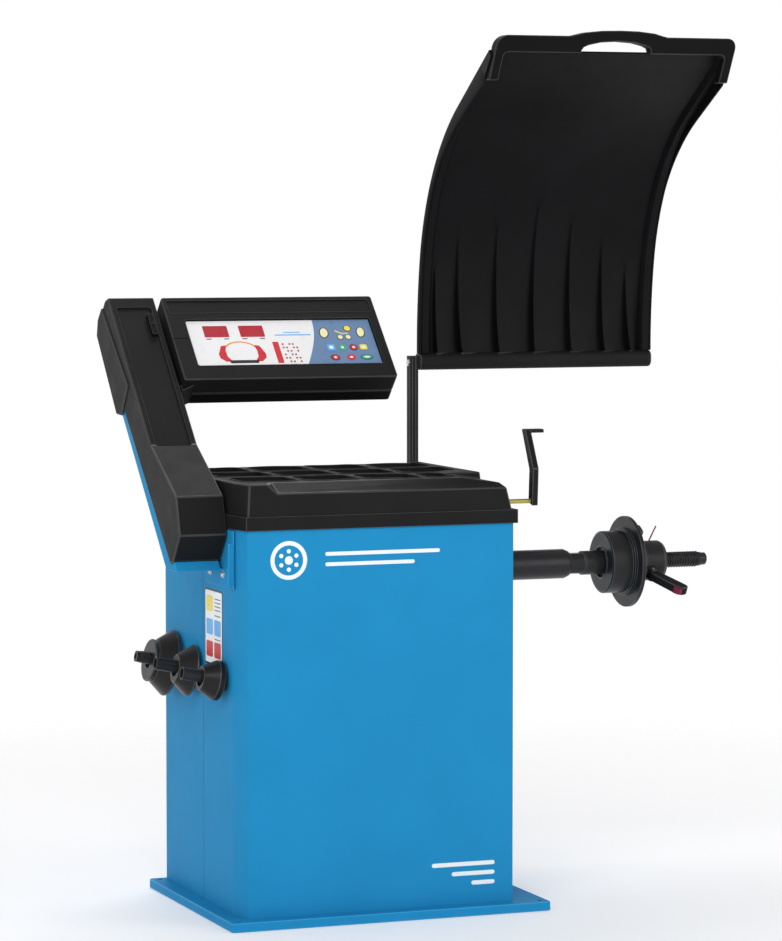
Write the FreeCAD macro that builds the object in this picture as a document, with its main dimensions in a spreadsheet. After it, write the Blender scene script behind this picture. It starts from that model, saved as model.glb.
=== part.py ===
import FreeCAD, Part
import math
import os
from types import SimpleNamespace

import Sketcher

# Floor-standing wheel balancer with a swinging wheel guard.
# Frame: X to the right along the balancing shaft, Y to the back, Z up, millimetres.
# Origin: middle of the base plate, on the floor.

SIZES = {
    # base plate, a folded pan
    "base_width": 730, "base_depth": 584, "base_height": 20, "base_sheet": 4,
    "corner_notch": 9, "anchor_inset": 20, "anchor_radius": 6, "anchor_boss": 14,
    # cabinet of bent sheet, with a shallow bend along its front left edge
    "cabinet_left": -330, "cabinet_right": 290, "cabinet_front": -256, "cabinet_back": 274,
    "cabinet_top": 869, "cabinet_sheet": 2, "bend_left": -317, "bend_front": -195,
    "seam_left": 3, "seam_right": 150, "seam_gap": 2,
    "deck_level": 838, "deck_sheet": 3, "shaft_hole_radius": 48,
    # weight tray on top
    "skirt_left": -334, "skirt_right": 298, "skirt_front": -261, "skirt_back": 281,
    "skirt_low": 843, "skirt_high": 873, "tray_wall": 3, "tray_left": -329, "tray_right": 272,
    "tray_front": -258, "tray_back": 276, "tray_top": 941, "lip_height": 925, "lip_end": -206,
    "lip_left": -256, "cell_left": -300, "cell_right": 254, "cell_front": -192, "cell_back": 256,
    "cell_wall": 10, "cell_floor": 908, "floor_sheet": 3,
    # display post, leaning back over the tray; its own frame starts at the knee of the cover
    "lean": 45, "knee_back": 26, "knee_level": 1011, "post_left": -441, "post_right": -335,
    "post_top": 438, "post_peak": 450, "post_depth": 90, "post_wall": 3,
    "chest_forward": -56, "chest_down": -196, "chin_forward": -16, "chin_down": -271,
    "foot_back": 58, "foot_down": -279, "heel_back": 76, "heel_down": -272,
    "shoulder": 203, "strap_low": 240, "strap_high": 300,
    "recess_left": -428, "recess_right": -348, "recess_low": -5, "recess_high": 398,
    "recess_depth": 1.5, "column_front": 62, "column_back": 114, "column_inset": 3.5,
    "column_top": 330, "column_foot": -366, "column_sheet": 3, "web_sheet": 3,
    "web_front": -209, "web_back": -30, "web_low": 716, "web_high": 840, "flange_reach": 14,
    "bolt_level": 743, "bolt_front": -146, "bolt_back": -62, "bolt_radius": 4,
    # rear cover of the post
    "rear_left": -444.5, "rear_right": -331.7, "rear_start": 22, "rear_slope": 46,
    "rear_end": 131, "rear_low": 195, "rear_toe": 181, "rear_high": 452, "rear_edge_start": 76,
    # display head
    "head_left": -326, "head_right": 175, "head_front": -16, "head_split": 30, "head_back": 64,
    "head_low": 174, "head_high": 423, "head_wall": 3, "window_left": -283, "window_right": 150,
    "window_low": 217, "window_high": 352, "window_depth": 4, "membrane_sheet": 1.5,
    "board_sheet": 1.6, "board_back": 8, "digit_low": 303, "digit_high": 337,
    "digit_left": -248, "digit_width": 56, "digit_pitch": 84,
    # balancing shaft and its fixed housing, along X
    "shaft_level": 725, "housing_radius": 33, "housing_bore": 26, "housing_start": -60,
    "housing_end": 518, "nose_end": 528, "nose_radius": 28, "nose_bore": 20,
    "bearing_bore": 15, "bearing_width": 15, "bearing_inset": 10, "journal_radius": 14.96,
    "journal_start": -114, "collar_start": 529.5, "collar_end": 561, "collar_radius": 25.5,
    "stem_radius": 27, "drum_start": 610, "drum_radius": 70, "drum_end": 667.5,
    "drum_recess": 10, "recess_radius": 36, "disc_radius": 102.5, "disc_end": 676.5,
    "seat_inner": 64, "seat_height": 1.5, "thread_radius": 18, "thread_end": 852,
    "tip_radius": 14, "tip_end": 869, "stub_length": 30, "block_start": 55, "block_end": 165,
    "block_half": 55,
    # pressure cup and quick nut
    "cup_radius": 61, "cup_start": 678.5, "cup_end": 699, "cup_wall": 5, "cup_web": 7,
    "nut_bore": 18.05, "nut_start": 699.4, "nut_end": 757.5, "nut_radius": 45,
    "lever_angle": 210, "lever_pivot": 716, "lever_pivot_radius": 54, "lever_half": 10.5,
    "lever_pin": 2.5, "ear_sheet": 4, "pin_radius": 1.6, "pin_length": 50, "rod_lean": 28,
    # drive
    "motor_level": 480, "motor_radius": 65, "motor_start": -75, "motor_end": 45,
    "pulley_start": -106, "pulley_end": -84, "pulley_big": 80, "pulley_small": 25,
    "belt_gap": 0.3, "belt_sheet": 4, "belt_inset": 3, "encoder_radius": 56,
    "encoder_start": -74, "encoder_sheet": 2, "motor_shaft_radius": 9.96,
    "motor_bore": 10, "motor_socket": 40,
    # inner pedestal
    "pedestal_left": 60, "pedestal_right": 160, "pedestal_half": 70, "pedestal_top": 648,
    "pedestal_wall": 5, "foot_plate": 8, "foot_margin": 30, "sensor_radius": 14,
    # hood and its pivot
    "pivot_back": 409, "pivot_level": 880, "pivot_radius": 12.5, "bush_radius": 17,
    "bush_clearance": 0.05, "cheek_left": 200, "cheek_right": 285, "cheek_sheet": 8,
    "cheek_front": 284, "cheek_back": 442, "cheek_low": 705, "cheek_high": 918,
    "cheek_belly": 850, "stop_radius": 5, "open_stop_back": 424.8, "open_stop_level": 906,
    "closed_stop_back": 357.6, "closed_stop_level": 891.2,
    "arm_left": 305, "arm_width": 21, "boss_radius": 22, "rail_level": 1165, "rail_radius": 13.5,
    "hood_left": 327, "hood_right": 917, "hood_sheet": 4, "hood_back": 412, "hood_straight": 1200,
    "wide_bend": 1150, "wide_angle": 10, "tight_bend": 520, "tight_angle": 57,
    "bar_front": -52, "bar_back": -22, "bar_low": 1801, "bar_high": 1899, "bar_corner": 34,
    "strip_low": 1862, "leg_width": 26,
    "rim_width": 26, "rim_depth": 14, "lip_half": 19, "lip_rise": 20, "slot_half": 84,
    "slot_high": 1889, "bulge_half": 108, "bulge_rise": 13,
    # distance gauge
    "gauge_back": -213, "gauge_level": 886, "rod_radius": 5, "rod_start": 22, "rod_end": 357,
    "rail_back": -231, "rail_height": 872, "slide_radius": 4, "carriage_start": 18,
    "carriage_end": 48, "gauge_left": 0, "gauge_right": 266, "gauge_cheek": 6,
    "guide_cheek": 13, "arm_start": 347, "arm_sheet": 13, "arm_half": 9, "elbow_rise": 70,
    "elbow_back": -5, "gauge_rise": 154, "gauge_lean": 42, "finger_length": 45,
    # storage pegs and centring cones
    "peg_tilt": 11, "peg_level": 517, "peg_radius": 14, "peg_length": 97, "peg_bore": 11,
    "plate_radius": 24, "plate_sheet": 3, "cone_bore": 18.2, "cone_drop": 4.1,
    # power entry
    "inlet_x": -200, "inlet_level": 140, "inlet_half": 24, "inlet_rise": 14, "switch_x": -130,
    "switch_half": 11, "switch_rise": 16, "rocker_gap": 0.4, "rocker_tilt": 7,
    "box_left": -310, "box_right": -190, "box_front": -130, "box_back": 60, "box_top": 250,
}

DOC = FreeCAD.newDocument("WheelBalancer")
SHEET = DOC.addObject("Spreadsheet::Sheet", "Sizes")
NODES = []


# ---- sizes that keep their sheet expression ---------------------------------------------

class Term:
    """A number with the sheet expression that gives it."""

    def __init__(self, value, text):
        self.value = value
        self.text = text

    def __add__(self, other):
        return joined(self, "+", other)

    def __radd__(self, other):
        return joined(other, "+", self)

    def __sub__(self, other):
        return joined(self, "-", other)

    def __rsub__(self, other):
        return joined(other, "-", self)

    def __mul__(self, other):
        return joined(self, "*", other)

    def __rmul__(self, other):
        return joined(other, "*", self)

    def __truediv__(self, other):
        return joined(self, "/", other)

    def __neg__(self):
        return joined(0, "-", self)


def term(item):
    """Gives a plain number its expression; a Term stays as it is."""
    if isinstance(item, Term):
        return item
    return Term(float(item), f"({float(item):.6g})")


def joined(left, sign, right):
    """Both the value and the expression of left sign right."""
    left, right = term(left), term(right)
    values = {
        "+": left.value + right.value,
        "-": left.value - right.value,
        "*": left.value * right.value,
        "/": left.value / right.value if right.value else 0.0,
    }
    return Term(values[sign], f"({left.text} {sign} {right.text})")


def fill_sheet():
    """Writes each driving dimension to the sheet under its own alias."""
    for row, (alias, amount) in enumerate(SIZES.items(), start=1):
        SHEET.set(f"A{row}", alias)
        SHEET.set(f"B{row}", str(amount))
        SHEET.setAlias(f"B{row}", alias)
    DOC.recompute()


def read_sheet():
    """Each alias as a Term whose value comes from the sheet."""
    return SimpleNamespace(**{
        alias: Term(float(SHEET.get(alias)), f"Sizes.{alias}") for alias in SIZES
    })


fill_sheet()
D = read_sheet()


def bind(item, name, amount):
    """Drives a property of item by an expression of the sheet."""
    item.setExpression(name, term(amount).text)


def node(item):
    """Registers a finished sub-part for the checks and the export."""
    NODES.append(item)
    return item


# ---- building blocks ----------------------------------------------------------------------

def rectangle(left, low, right, high):
    return [(left, low), (right, low), (right, high), (left, high)]


def ring(across, up, radius):
    return {"across": across, "up": up, "radius": radius}


def draw_ring(sketch, loop):
    """Adds a circle whose centre and radius follow the sheet."""
    centre = FreeCAD.Vector(term(loop["across"]).value, term(loop["up"]).value, 0)
    circle = Part.Circle(centre, FreeCAD.Vector(0, 0, 1), term(loop["radius"]).value)
    index = sketch.addGeometry(circle, False)
    facts = (("DistanceX", (3,), loop["across"]), ("DistanceY", (3,), loop["up"]),
             ("Radius", (), loop["radius"]))
    for kind, place, amount in facts:
        number = sketch.addConstraint(
            Sketcher.Constraint(kind, index, *place, term(amount).value))
        bind(sketch, f"Constraints[{number}]", amount)


def draw_polygon(sketch, corners):
    """Adds a closed outline whose corners follow the sheet."""
    spots = [FreeCAD.Vector(term(a).value, term(b).value, 0) for a, b in corners]
    count = len(spots)
    first = sketch.GeometryCount
    for start in range(count):
        sketch.addGeometry(Part.LineSegment(spots[start], spots[(start + 1) % count]), False)
    for start in range(count):
        following = first + (start + 1) % count
        sketch.addConstraint(Sketcher.Constraint("Coincident", first + start, 2, following, 1))
    for index, corner in enumerate(corners):
        for kind, amount in zip(("DistanceX", "DistanceY"), corner):
            number = sketch.addConstraint(
                Sketcher.Constraint(kind, first + index, 1, term(amount).value))
            bind(sketch, f"Constraints[{number}]", amount)


def sketch_on(body, plane, level, loops):
    """A sketch on one of the body's own planes, moved along that plane's axis to level."""
    sketch = body.newObject("Sketcher::SketchObject", f"{body.Name}_sketch")
    support = next(f for f in body.Origin.OriginFeatures if f.Role == f"{plane}_Plane")
    sketch.AttachmentSupport = (support, "")
    sketch.MapMode = "FlatFace"
    offset = -term(level) if plane == "XZ" else term(level)
    bind(sketch, "AttachmentOffset.Base.z", offset)
    for loop in loops:
        if isinstance(loop, dict):
            draw_ring(sketch, loop)
        else:
            draw_polygon(sketch, loop)
    return sketch


def new_body(label):
    body = DOC.addObject("PartDesign::Body", label)
    body.Label = label
    return body


def pad(body, plane, loops, low, high):
    """Adds a prism from low to high along the plane's axis."""
    start = high if plane == "XZ" else low
    feature = body.newObject("PartDesign::Pad", f"{body.Name}_pad")
    feature.Profile = sketch_on(body, plane, start, loops)
    bind(feature, "Length", term(high) - low)
    feature.Profile[0].Visibility = False
    return feature


def pocket(body, plane, loops, low, high):
    """Cuts a prism from low to high along the plane's axis, and checks that it cut."""
    DOC.recompute()
    before = body.Shape.Volume
    start = low if plane == "XZ" else high
    feature = body.newObject("PartDesign::Pocket", f"{body.Name}_pocket")
    feature.Profile = sketch_on(body, plane, start, loops)
    bind(feature, "Length", term(high) - low)
    DOC.recompute()
    if not body.Shape.Volume < before - 1e-3:
        raise RuntimeError(f"a pocket of {body.Label} cut nothing")
    return feature


def turned(label, corners, level=0, back=0):
    """A body turned about an axis along X from (x, radius) corners."""
    body = new_body(label)
    feature = body.newObject("PartDesign::Revolution", f"{body.Name}_turned")
    sketch = sketch_on(body, "XZ", 0, [corners])
    feature.Profile = sketch
    feature.ReferenceAxis = (sketch, ["H_Axis"])
    feature.Angle = 360
    place(body, 0, back, level)
    return body


def place(item, across, back, level, axis=None, angle=0):
    """Moves item by sheet expressions; axis and angle turn it about its own origin."""
    base = FreeCAD.Vector(*(term(amount).value for amount in (across, back, level)))
    turn = FreeCAD.Rotation(FreeCAD.Vector(*(axis or (0, 0, 1))), term(angle).value)
    item.Placement = FreeCAD.Placement(base, turn)
    for name, amount in zip("xyz", (across, back, level)):
        bind(item, f"Placement.Base.{name}", amount)
    return item


def box(label, low, high):
    """A plain block between two corners."""
    item = DOC.addObject("Part::Box", label)
    item.Label = label
    for name, start, end in zip(("Length", "Width", "Height"), low, high):
        bind(item, name, term(end) - start)
    return place(item, *low)


def rod(label, radius, start, end, back, level):
    """A round bar along X."""
    item = DOC.addObject("Part::Cylinder", label)
    item.Label = label
    bind(item, "Radius", radius)
    bind(item, "Height", term(end) - start)
    return place(item, start, back, level, (0, 1, 0), 90)


def post(label, radius, across, back, low, high):
    """A round bar along Z."""
    item = DOC.addObject("Part::Cylinder", label)
    item.Label = label
    bind(item, "Radius", radius)
    bind(item, "Height", term(high) - low)
    return place(item, across, back, low)


def minus(label, base, tool):
    item = DOC.addObject("Part::Cut", label)
    item.Label = label
    item.Base = base
    item.Tool = tool
    return item


def plus(label, pieces):
    item = DOC.addObject("Part::MultiFuse", label)
    item.Label = label
    item.Shapes = pieces
    return item


def group(label, pieces):
    """Several separate solids as one sub-part."""
    item = DOC.addObject("Part::Compound", label)
    item.Label = label
    item.Links = pieces
    return item


def tube(label, outer, inner, start, end, back, level):
    """A ring or pipe along X."""
    body = turned(label, [(start, inner), (end, inner), (end, outer), (start, outer)],
                  level, back)
    return body


def leaning(body):
    """Puts a body drawn in the post's frame (X, depth, rise) at the knee of the post."""
    return place(body, 0, D.knee_back, D.knee_level, (1, 0, 0), -D.lean)


# ---- base, cabinet, deck ------------------------------------------------------------------

def base_plate():
    body = new_body("base_plate")
    half_x, half_y = D.base_width / 2, D.base_depth / 2
    pad(body, "XY", [rectangle(-half_x, -half_y, half_x, half_y)], 0, D.base_height)
    skin = D.base_sheet
    under = rectangle(-half_x + skin, -half_y + skin, half_x - skin, half_y - skin)
    pocket(body, "XY", [under], 0, D.base_height - skin)
    notches = [rectangle(-half_x - 1, -half_y - 1, D.corner_notch - half_x, D.corner_notch - half_y),
               rectangle(half_x - D.corner_notch, -half_y - 1, half_x + 1, D.corner_notch - half_y),
               rectangle(-half_x - 1, half_y - D.corner_notch, D.corner_notch - half_x, half_y + 1),
               rectangle(half_x - D.corner_notch, half_y - D.corner_notch, half_x + 1, half_y + 1)]
    pocket(body, "XY", notches, 0, D.base_height - skin)
    spots = [(side * (half_x - D.anchor_inset), end * (half_y - D.anchor_inset))
             for side in (-1, 1) for end in (-1, 1)]
    for spot in spots:
        pad(body, "XY", [ring(*spot, D.anchor_boss)], 0, D.base_height)
    pocket(body, "XY", [ring(*spot, D.anchor_radius) for spot in spots], 0, D.base_height)
    node(body)


def cabinet_front():
    """The front, with the sides back to the seams, as one bent sheet."""
    body = new_body("cabinet_front_shell")
    skin = D.cabinet_sheet
    outline = [(D.cabinet_left, D.seam_left), (D.cabinet_left, D.bend_front),
               (D.bend_left, D.cabinet_front), (D.cabinet_right, D.cabinet_front),
               (D.cabinet_right, D.seam_right), (D.cabinet_right - skin, D.seam_right),
               (D.cabinet_right - skin, D.cabinet_front + skin),
               (D.bend_left + skin, D.cabinet_front + skin),
               (D.cabinet_left + skin, D.bend_front), (D.cabinet_left + skin, D.seam_left)]
    pad(body, "XY", [outline], D.base_height, D.cabinet_top)
    hole = [ring(0, D.shaft_level, D.shaft_hole_radius)]
    pocket(body, "YZ", hole, D.cabinet_right - 2 * skin, D.cabinet_right + 1)
    node(body)


def cabinet_rear():
    """The back, with the sides forward to the seams; holes for the mains inlet and switch."""
    body = new_body("cabinet_rear_shell")
    skin = D.cabinet_sheet
    left_seam, right_seam = D.seam_left + D.seam_gap, D.seam_right + D.seam_gap
    outline = [(D.cabinet_left, left_seam), (D.cabinet_left, D.cabinet_back),
               (D.cabinet_right, D.cabinet_back), (D.cabinet_right, right_seam),
               (D.cabinet_right - skin, right_seam),
               (D.cabinet_right - skin, D.cabinet_back - skin),
               (D.cabinet_left + skin, D.cabinet_back - skin), (D.cabinet_left + skin, left_seam)]
    pad(body, "XY", [outline], D.base_height, D.cabinet_top)
    cuts = [rectangle(D.inlet_x - D.inlet_half, D.inlet_level - D.inlet_rise,
                      D.inlet_x + D.inlet_half, D.inlet_level + D.inlet_rise),
            rectangle(D.switch_x - D.switch_half, D.inlet_level - D.switch_rise,
                      D.switch_x + D.switch_half, D.inlet_level + D.switch_rise)]
    pocket(body, "XZ", cuts, D.cabinet_back - 2 * skin, D.cabinet_back + 1)
    node(body)


def top_deck():
    body = new_body("top_deck")
    skin = D.cabinet_sheet
    outline = [(D.cabinet_left + skin, D.bend_front), (D.bend_left + skin, D.cabinet_front + skin),
               (D.cabinet_right - skin, D.cabinet_front + skin),
               (D.cabinet_right - skin, D.cabinet_back - skin),
               (D.cabinet_left + skin, D.cabinet_back - skin)]
    pad(body, "XY", [outline], D.deck_level, D.deck_level + D.deck_sheet)
    node(body)


def tray_plan(left, front, right, back):
    """Plan of the tray: a rectangle with the cabinet's shallow bend at its front left."""
    bend = D.bend_left - D.cabinet_left
    return [(left, back), (left, D.bend_front), (left + bend, front), (right, front),
            (right, back)]


def weight_tray():
    """Moulded tray: a skirt over the cabinet's rim, a hollow body and twelve cells."""
    body = new_body("weight_tray")
    wall = D.tray_wall
    pad(body, "XY", [tray_plan(D.skirt_left, D.skirt_front, D.skirt_right, D.skirt_back)],
        D.skirt_low, D.skirt_high)
    pad(body, "XY", [tray_plan(D.tray_left, D.tray_front, D.tray_right, D.tray_back)],
        D.skirt_high, D.tray_top)
    inside = tray_plan(D.skirt_left + wall, D.skirt_front + wall, D.skirt_right - wall,
                       D.skirt_back - wall)
    pocket(body, "XY", [inside], D.skirt_low, D.cabinet_top)
    hollow = tray_plan(D.tray_left + 2 * wall, D.tray_front + 2 * wall, D.tray_right - wall,
                       D.tray_back - 2 * wall)
    pocket(body, "XY", [hollow], D.skirt_low, D.cell_floor - D.floor_sheet)
    lip = [(D.tray_front - 1, D.lip_height), (D.tray_front - 1, D.tray_top + 1),
           (D.lip_end, D.tray_top + 1), (D.lip_end, D.tray_top)]
    pocket(body, "YZ", [lip], D.lip_left, D.tray_right + 1)
    columns, rows = 4, 3
    wide = (D.cell_right - D.cell_left - (columns - 1) * D.cell_wall) / columns
    deep = (D.cell_back - D.cell_front - (rows - 1) * D.cell_wall) / rows
    cells = []
    for column in range(columns):
        for row in range(rows):
            left = D.cell_left + column * (wide + D.cell_wall)
            front = D.cell_front + row * (deep + D.cell_wall)
            cells.append(rectangle(left, front, left + wide, front + deep))
    pocket(body, "XY", cells, D.cell_floor, D.tray_top + 1)
    hole = [ring(D.gauge_back, D.gauge_level, D.rod_radius + 3)]
    pocket(body, "YZ", hole, D.tray_right - 2 * wall, D.tray_right + 1)
    node(body)


# ---- display post ---------------------------------------------------------------------------

def post_outline():
    return [(0, 0), (0, D.post_top), (D.rear_start, D.post_peak), (D.post_depth, D.post_peak),
            (D.post_depth, D.shoulder), (D.heel_back, D.heel_down), (D.foot_back, D.foot_down),
            (D.chin_forward, D.chin_down), (D.chest_forward, D.chest_down)]


def post_front_cover():
    """Moulded front cover of the post, open at its back, with a shallow panel on its face."""
    body = new_body("post_front_cover")
    wall = D.post_wall
    pad(body, "YZ", [post_outline()], D.post_left, D.post_right)
    inside = [(wall, 0), (wall, D.post_top - wall), (D.rear_start, D.post_peak - wall),
              (D.post_depth + 1, D.post_peak - wall), (D.post_depth + 1, D.shoulder),
              (D.heel_back + 1, D.foot_down - 1), (D.foot_back + 2, D.foot_down - 1),
              (D.foot_back + 2, D.foot_down + wall),
              (D.chin_forward + wall, D.chin_down + wall),
              (D.chest_forward + wall + 1, D.chest_down)]
    pocket(body, "YZ", [inside], D.post_left + wall, D.post_right - wall)
    panel = rectangle(D.recess_left, D.recess_low, D.recess_right, D.recess_high)
    pocket(body, "XZ", [panel], -1, D.recess_depth)
    notch = rectangle(D.post_depth - 30, D.strap_low - 4, D.post_depth + 1, D.strap_high + 4)
    pocket(body, "YZ", [notch], D.post_right - wall, D.post_right + 1)
    node(leaning(body))


def post_column():
    """Folded steel column inside the cover, with the foot plate that meets its bracket."""
    body = new_body("post_column")
    skin = D.column_sheet
    left, right = D.post_left + D.column_inset, D.post_right - D.column_inset
    outline = [(D.column_front, D.column_foot + D.column_front),
               (D.column_back, D.column_foot + D.column_back), (D.column_back, D.column_top),
               (D.column_front, D.column_top)]
    pad(body, "YZ", [outline], left, right)
    hollow = [(D.column_front + skin, D.column_foot + D.column_front + 2 * skin),
              (D.column_back - skin, D.column_foot + D.column_back + skin),
              (D.column_back - skin, D.column_top + 1), (D.column_front + skin, D.column_top + 1)]
    pocket(body, "YZ", [hollow], left + skin, right - skin)
    shoe = [(D.column_front, D.column_foot + D.column_front),
            (D.column_front - 2, D.column_foot + D.column_front + 2),
            (D.column_back - 2, D.column_foot + D.column_back + 2),
            (D.column_back, D.column_foot + D.column_back)]
    pad(body, "YZ", [shoe], right, D.cabinet_left - D.web_sheet)
    node(leaning(body))


def post_bracket():
    """Bolted side plate that carries the column, with a folded front edge."""
    body = new_body("post_bracket")
    outer = D.cabinet_left - D.web_sheet
    plate = rectangle(D.web_front, D.web_low, D.web_back, D.web_high)
    pad(body, "YZ", [plate], outer, D.cabinet_left)
    edge = rectangle(D.web_front, D.web_low + 8, D.web_front + D.web_sheet, D.web_high - 26)
    pad(body, "YZ", [edge], D.cabinet_left - D.flange_reach, outer)
    node(body)


def bracket_bolts():
    """Two round-headed bolts through the side plate, with their washers."""
    bolts = []
    outer = D.cabinet_left - D.web_sheet
    for index, back in enumerate((D.bolt_front, D.bolt_back)):
        washer = rod(f"bolt_{index}_washer", D.bolt_radius * 2, outer - 1.6, outer, back,
                     D.bolt_level)
        head = rod(f"bolt_{index}_head", D.bolt_radius * 1.6, outer - 6.6, outer - 1.6, back,
                   D.bolt_level)
        bolts.append(plus(f"bolt_{index}", [washer, head]))
    node(group("post_bracket_bolts", bolts))


def post_rear_cover():
    body = new_body("post_rear_cover")
    wall = D.post_wall
    outline = [(D.rear_start, D.rear_low), (D.rear_slope, D.rear_high - 1),
               (D.rear_end - 46, D.rear_high), (D.rear_end - 14, D.rear_high - 20),
               (D.rear_end, D.rear_low + 13), (D.rear_end - 25, D.rear_toe)]
    pad(body, "YZ", [outline], D.rear_left, D.rear_right)
    inside = [(D.rear_start - 2, D.rear_low - 20), (D.rear_slope - 2, D.post_peak + 0.3),
              (D.post_depth, D.post_peak + 0.3), (D.rear_end - 14 - wall, D.rear_high - 22),
              (D.rear_end - wall, D.rear_low + 13), (D.rear_end - wall, D.rear_toe - 20)]
    pocket(body, "YZ", [inside], D.rear_left + wall, D.rear_right - wall)
    edge = rectangle(D.rear_start - 4, D.rear_toe - 4, D.rear_edge_start, D.rear_high + 4)
    pocket(body, "YZ", [edge], D.rear_right - wall, D.rear_right + 1)
    node(leaning(body))


# ---- display head ---------------------------------------------------------------------------

def display_housing():
    """Front half of the display head, with the window in its face."""
    body = new_body("display_housing")
    wall = D.head_wall
    outer = rectangle(D.head_left, D.head_low, D.head_right, D.head_high)
    pad(body, "XZ", [outer], D.head_front, D.head_split)
    inner = rectangle(D.head_left + wall, D.head_low + wall, D.head_right - wall,
                      D.head_high - wall)
    seat = D.head_front + D.window_depth + D.membrane_sheet
    pocket(body, "XZ", [inner], seat, D.head_split + 1)
    window = rectangle(D.window_left, D.window_low, D.window_right, D.window_high)
    pocket(body, "XZ", [window], D.head_front - 1, seat)
    node(leaning(body))


def display_back_cover():
    body = new_body("display_back_cover")
    wall = D.head_wall
    outer = rectangle(D.head_left, D.head_low, D.head_right, D.head_high)
    pad(body, "XZ", [outer], D.head_split, D.head_back)
    inner = rectangle(D.head_left + wall, D.head_low + wall, D.head_right - wall,
                      D.head_high - wall)
    pocket(body, "XZ", [inner], D.head_split - 1, D.head_back - wall)
    node(leaning(body))


def display_inside():
    """Membrane keypad and window, the board on its standoffs, and two digit modules."""
    membrane = new_body("display_membrane")
    start = D.head_front + D.window_depth
    window = rectangle(D.window_left, D.window_low, D.window_right, D.window_high)
    pad(membrane, "XZ", [window], start, start + D.membrane_sheet)
    node(leaning(membrane))

    board = new_body("board_sheet")
    margin = 10
    plate = rectangle(D.window_left - margin, D.window_low - margin, D.window_right + margin,
                      D.window_high + margin)
    pad(board, "XZ", [plate], D.board_back, D.board_back + D.board_sheet)
    pieces = [leaning(board)]
    corners = [(D.window_left - 5, D.window_low - 5), (D.window_left - 5, D.window_high + 5),
               (D.window_right + 5, D.window_low - 5), (D.window_right + 5, D.window_high + 5)]
    for index, corner in enumerate(corners):
        standoff = new_body(f"standoff_{index}")
        pad(standoff, "XZ", [ring(*corner, 3.5)], start + D.membrane_sheet, D.board_back)
        pieces.append(leaning(standoff))
    node(group("display_board", pieces))

    digits = []
    for index in range(2):
        left = D.digit_left + index * D.digit_pitch
        module = new_body(f"digit_module_{index}")
        face = rectangle(left, D.digit_low, left + D.digit_width, D.digit_high)
        pad(module, "XZ", [face], start + D.membrane_sheet, D.board_back)
        digits.append(leaning(module))
    node(group("digit_modules", digits))


def display_bracket():
    """Steel strap that carries the head on the column, behind both covers."""
    body = new_body("display_bracket")
    strap = rectangle(D.post_right - D.column_inset, D.strap_low, D.head_left + 90,
                      D.strap_high)
    pad(body, "XZ", [strap], D.head_back, D.head_back + 5)
    node(leaning(body))


def display_clip():
    """Small moulded latch on the post's panel, beside the head."""
    body = new_body("display_clip")
    strip = rectangle(D.recess_right - 16, D.recess_high - 78, D.recess_right - 2,
                      D.recess_high - 14)
    pad(body, "XZ", [strip], -7, D.recess_depth)
    node(leaning(body))


# ---- spindle ----------------------------------------------------------------------------------

def spindle_housing():
    """Fixed tube with a tapered nose that holds both bearings."""
    seat = D.bearing_inset + D.bearing_width
    body = turned("spindle_housing", [
        (D.housing_start, D.housing_bore), (D.housing_end - 3, D.housing_bore),
        (D.housing_end - 3, D.nose_bore), (D.nose_end, D.nose_bore),
        (D.nose_end, D.nose_radius), (D.housing_end, D.housing_radius),
        (D.housing_start, D.housing_radius)], D.shaft_level)
    node(body)
    rings = []
    for index, start in enumerate((D.housing_start + D.bearing_inset,
                                   D.housing_end - 3 - seat)):
        rings.append(tube(f"bearing_{index}", D.housing_bore, D.bearing_bore, start,
                          start + D.bearing_width, 0, D.shaft_level))
    node(group("spindle_bearings", rings))


def housing_block():
    """Cast block that grips the tube above the pedestal."""
    body = new_body("housing_block")
    half = D.block_half
    outer = rectangle(-half, D.shaft_level - half, half, D.shaft_level + half)
    pad(body, "YZ", [outer, ring(0, D.shaft_level, D.housing_radius)], D.block_start,
        D.block_end)
    node(body)


def pedestal():
    """Welded post on the base plate, with the plate that the motor hangs on."""
    body = new_body("pedestal")
    margin, half = D.foot_margin, D.pedestal_half
    foot = rectangle(D.pedestal_left - margin, -half - margin, D.pedestal_right + margin,
                     half + margin)
    pad(body, "XY", [foot], D.base_height, D.base_height + D.foot_plate)
    outer = rectangle(D.pedestal_left, -half, D.pedestal_right, half)
    pad(body, "XY", [outer], D.base_height + D.foot_plate, D.pedestal_top)
    wall = D.pedestal_wall
    inner = rectangle(D.pedestal_left + wall, wall - half, D.pedestal_right - wall, half - wall)
    pocket(body, "XY", [inner], D.base_height, D.pedestal_top - 2 * wall)
    motor_plate = rectangle(-half, D.motor_level - D.motor_radius, half,
                            D.motor_level + D.motor_radius)
    pad(body, "YZ", [motor_plate], D.motor_end, D.pedestal_left)
    node(body)
    gap = D.shaft_level - D.block_half
    middle = (D.pedestal_left + D.pedestal_right) / 2
    sensors = [post(f"sensor_{index}", D.sensor_radius, middle + offset, 0, D.pedestal_top, gap)
               for index, offset in enumerate((-30, 30))]
    node(group("force_sensors", sensors))
    plates = []
    for index, back in enumerate((-D.block_half, D.block_half - 3)):
        plates.append(box(f"flexure_{index}", (middle - 40, back, D.pedestal_top),
                          (middle + 40, back + 3, gap)))
    node(group("flexure_plates", plates))


def main_shaft():
    """Turning shaft: journals in the bearings, a collar, and the stem that ends in the drum."""
    node(turned("main_shaft", [
        (D.journal_start, 0), (D.journal_start, D.journal_radius),
        (D.collar_start, D.journal_radius), (D.collar_start, D.collar_radius),
        (D.collar_end, D.collar_radius), (D.collar_end, D.stem_radius),
        (D.drum_start + D.drum_recess, D.stem_radius), (D.drum_start + D.drum_recess, 0)],
        D.shaft_level))


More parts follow.
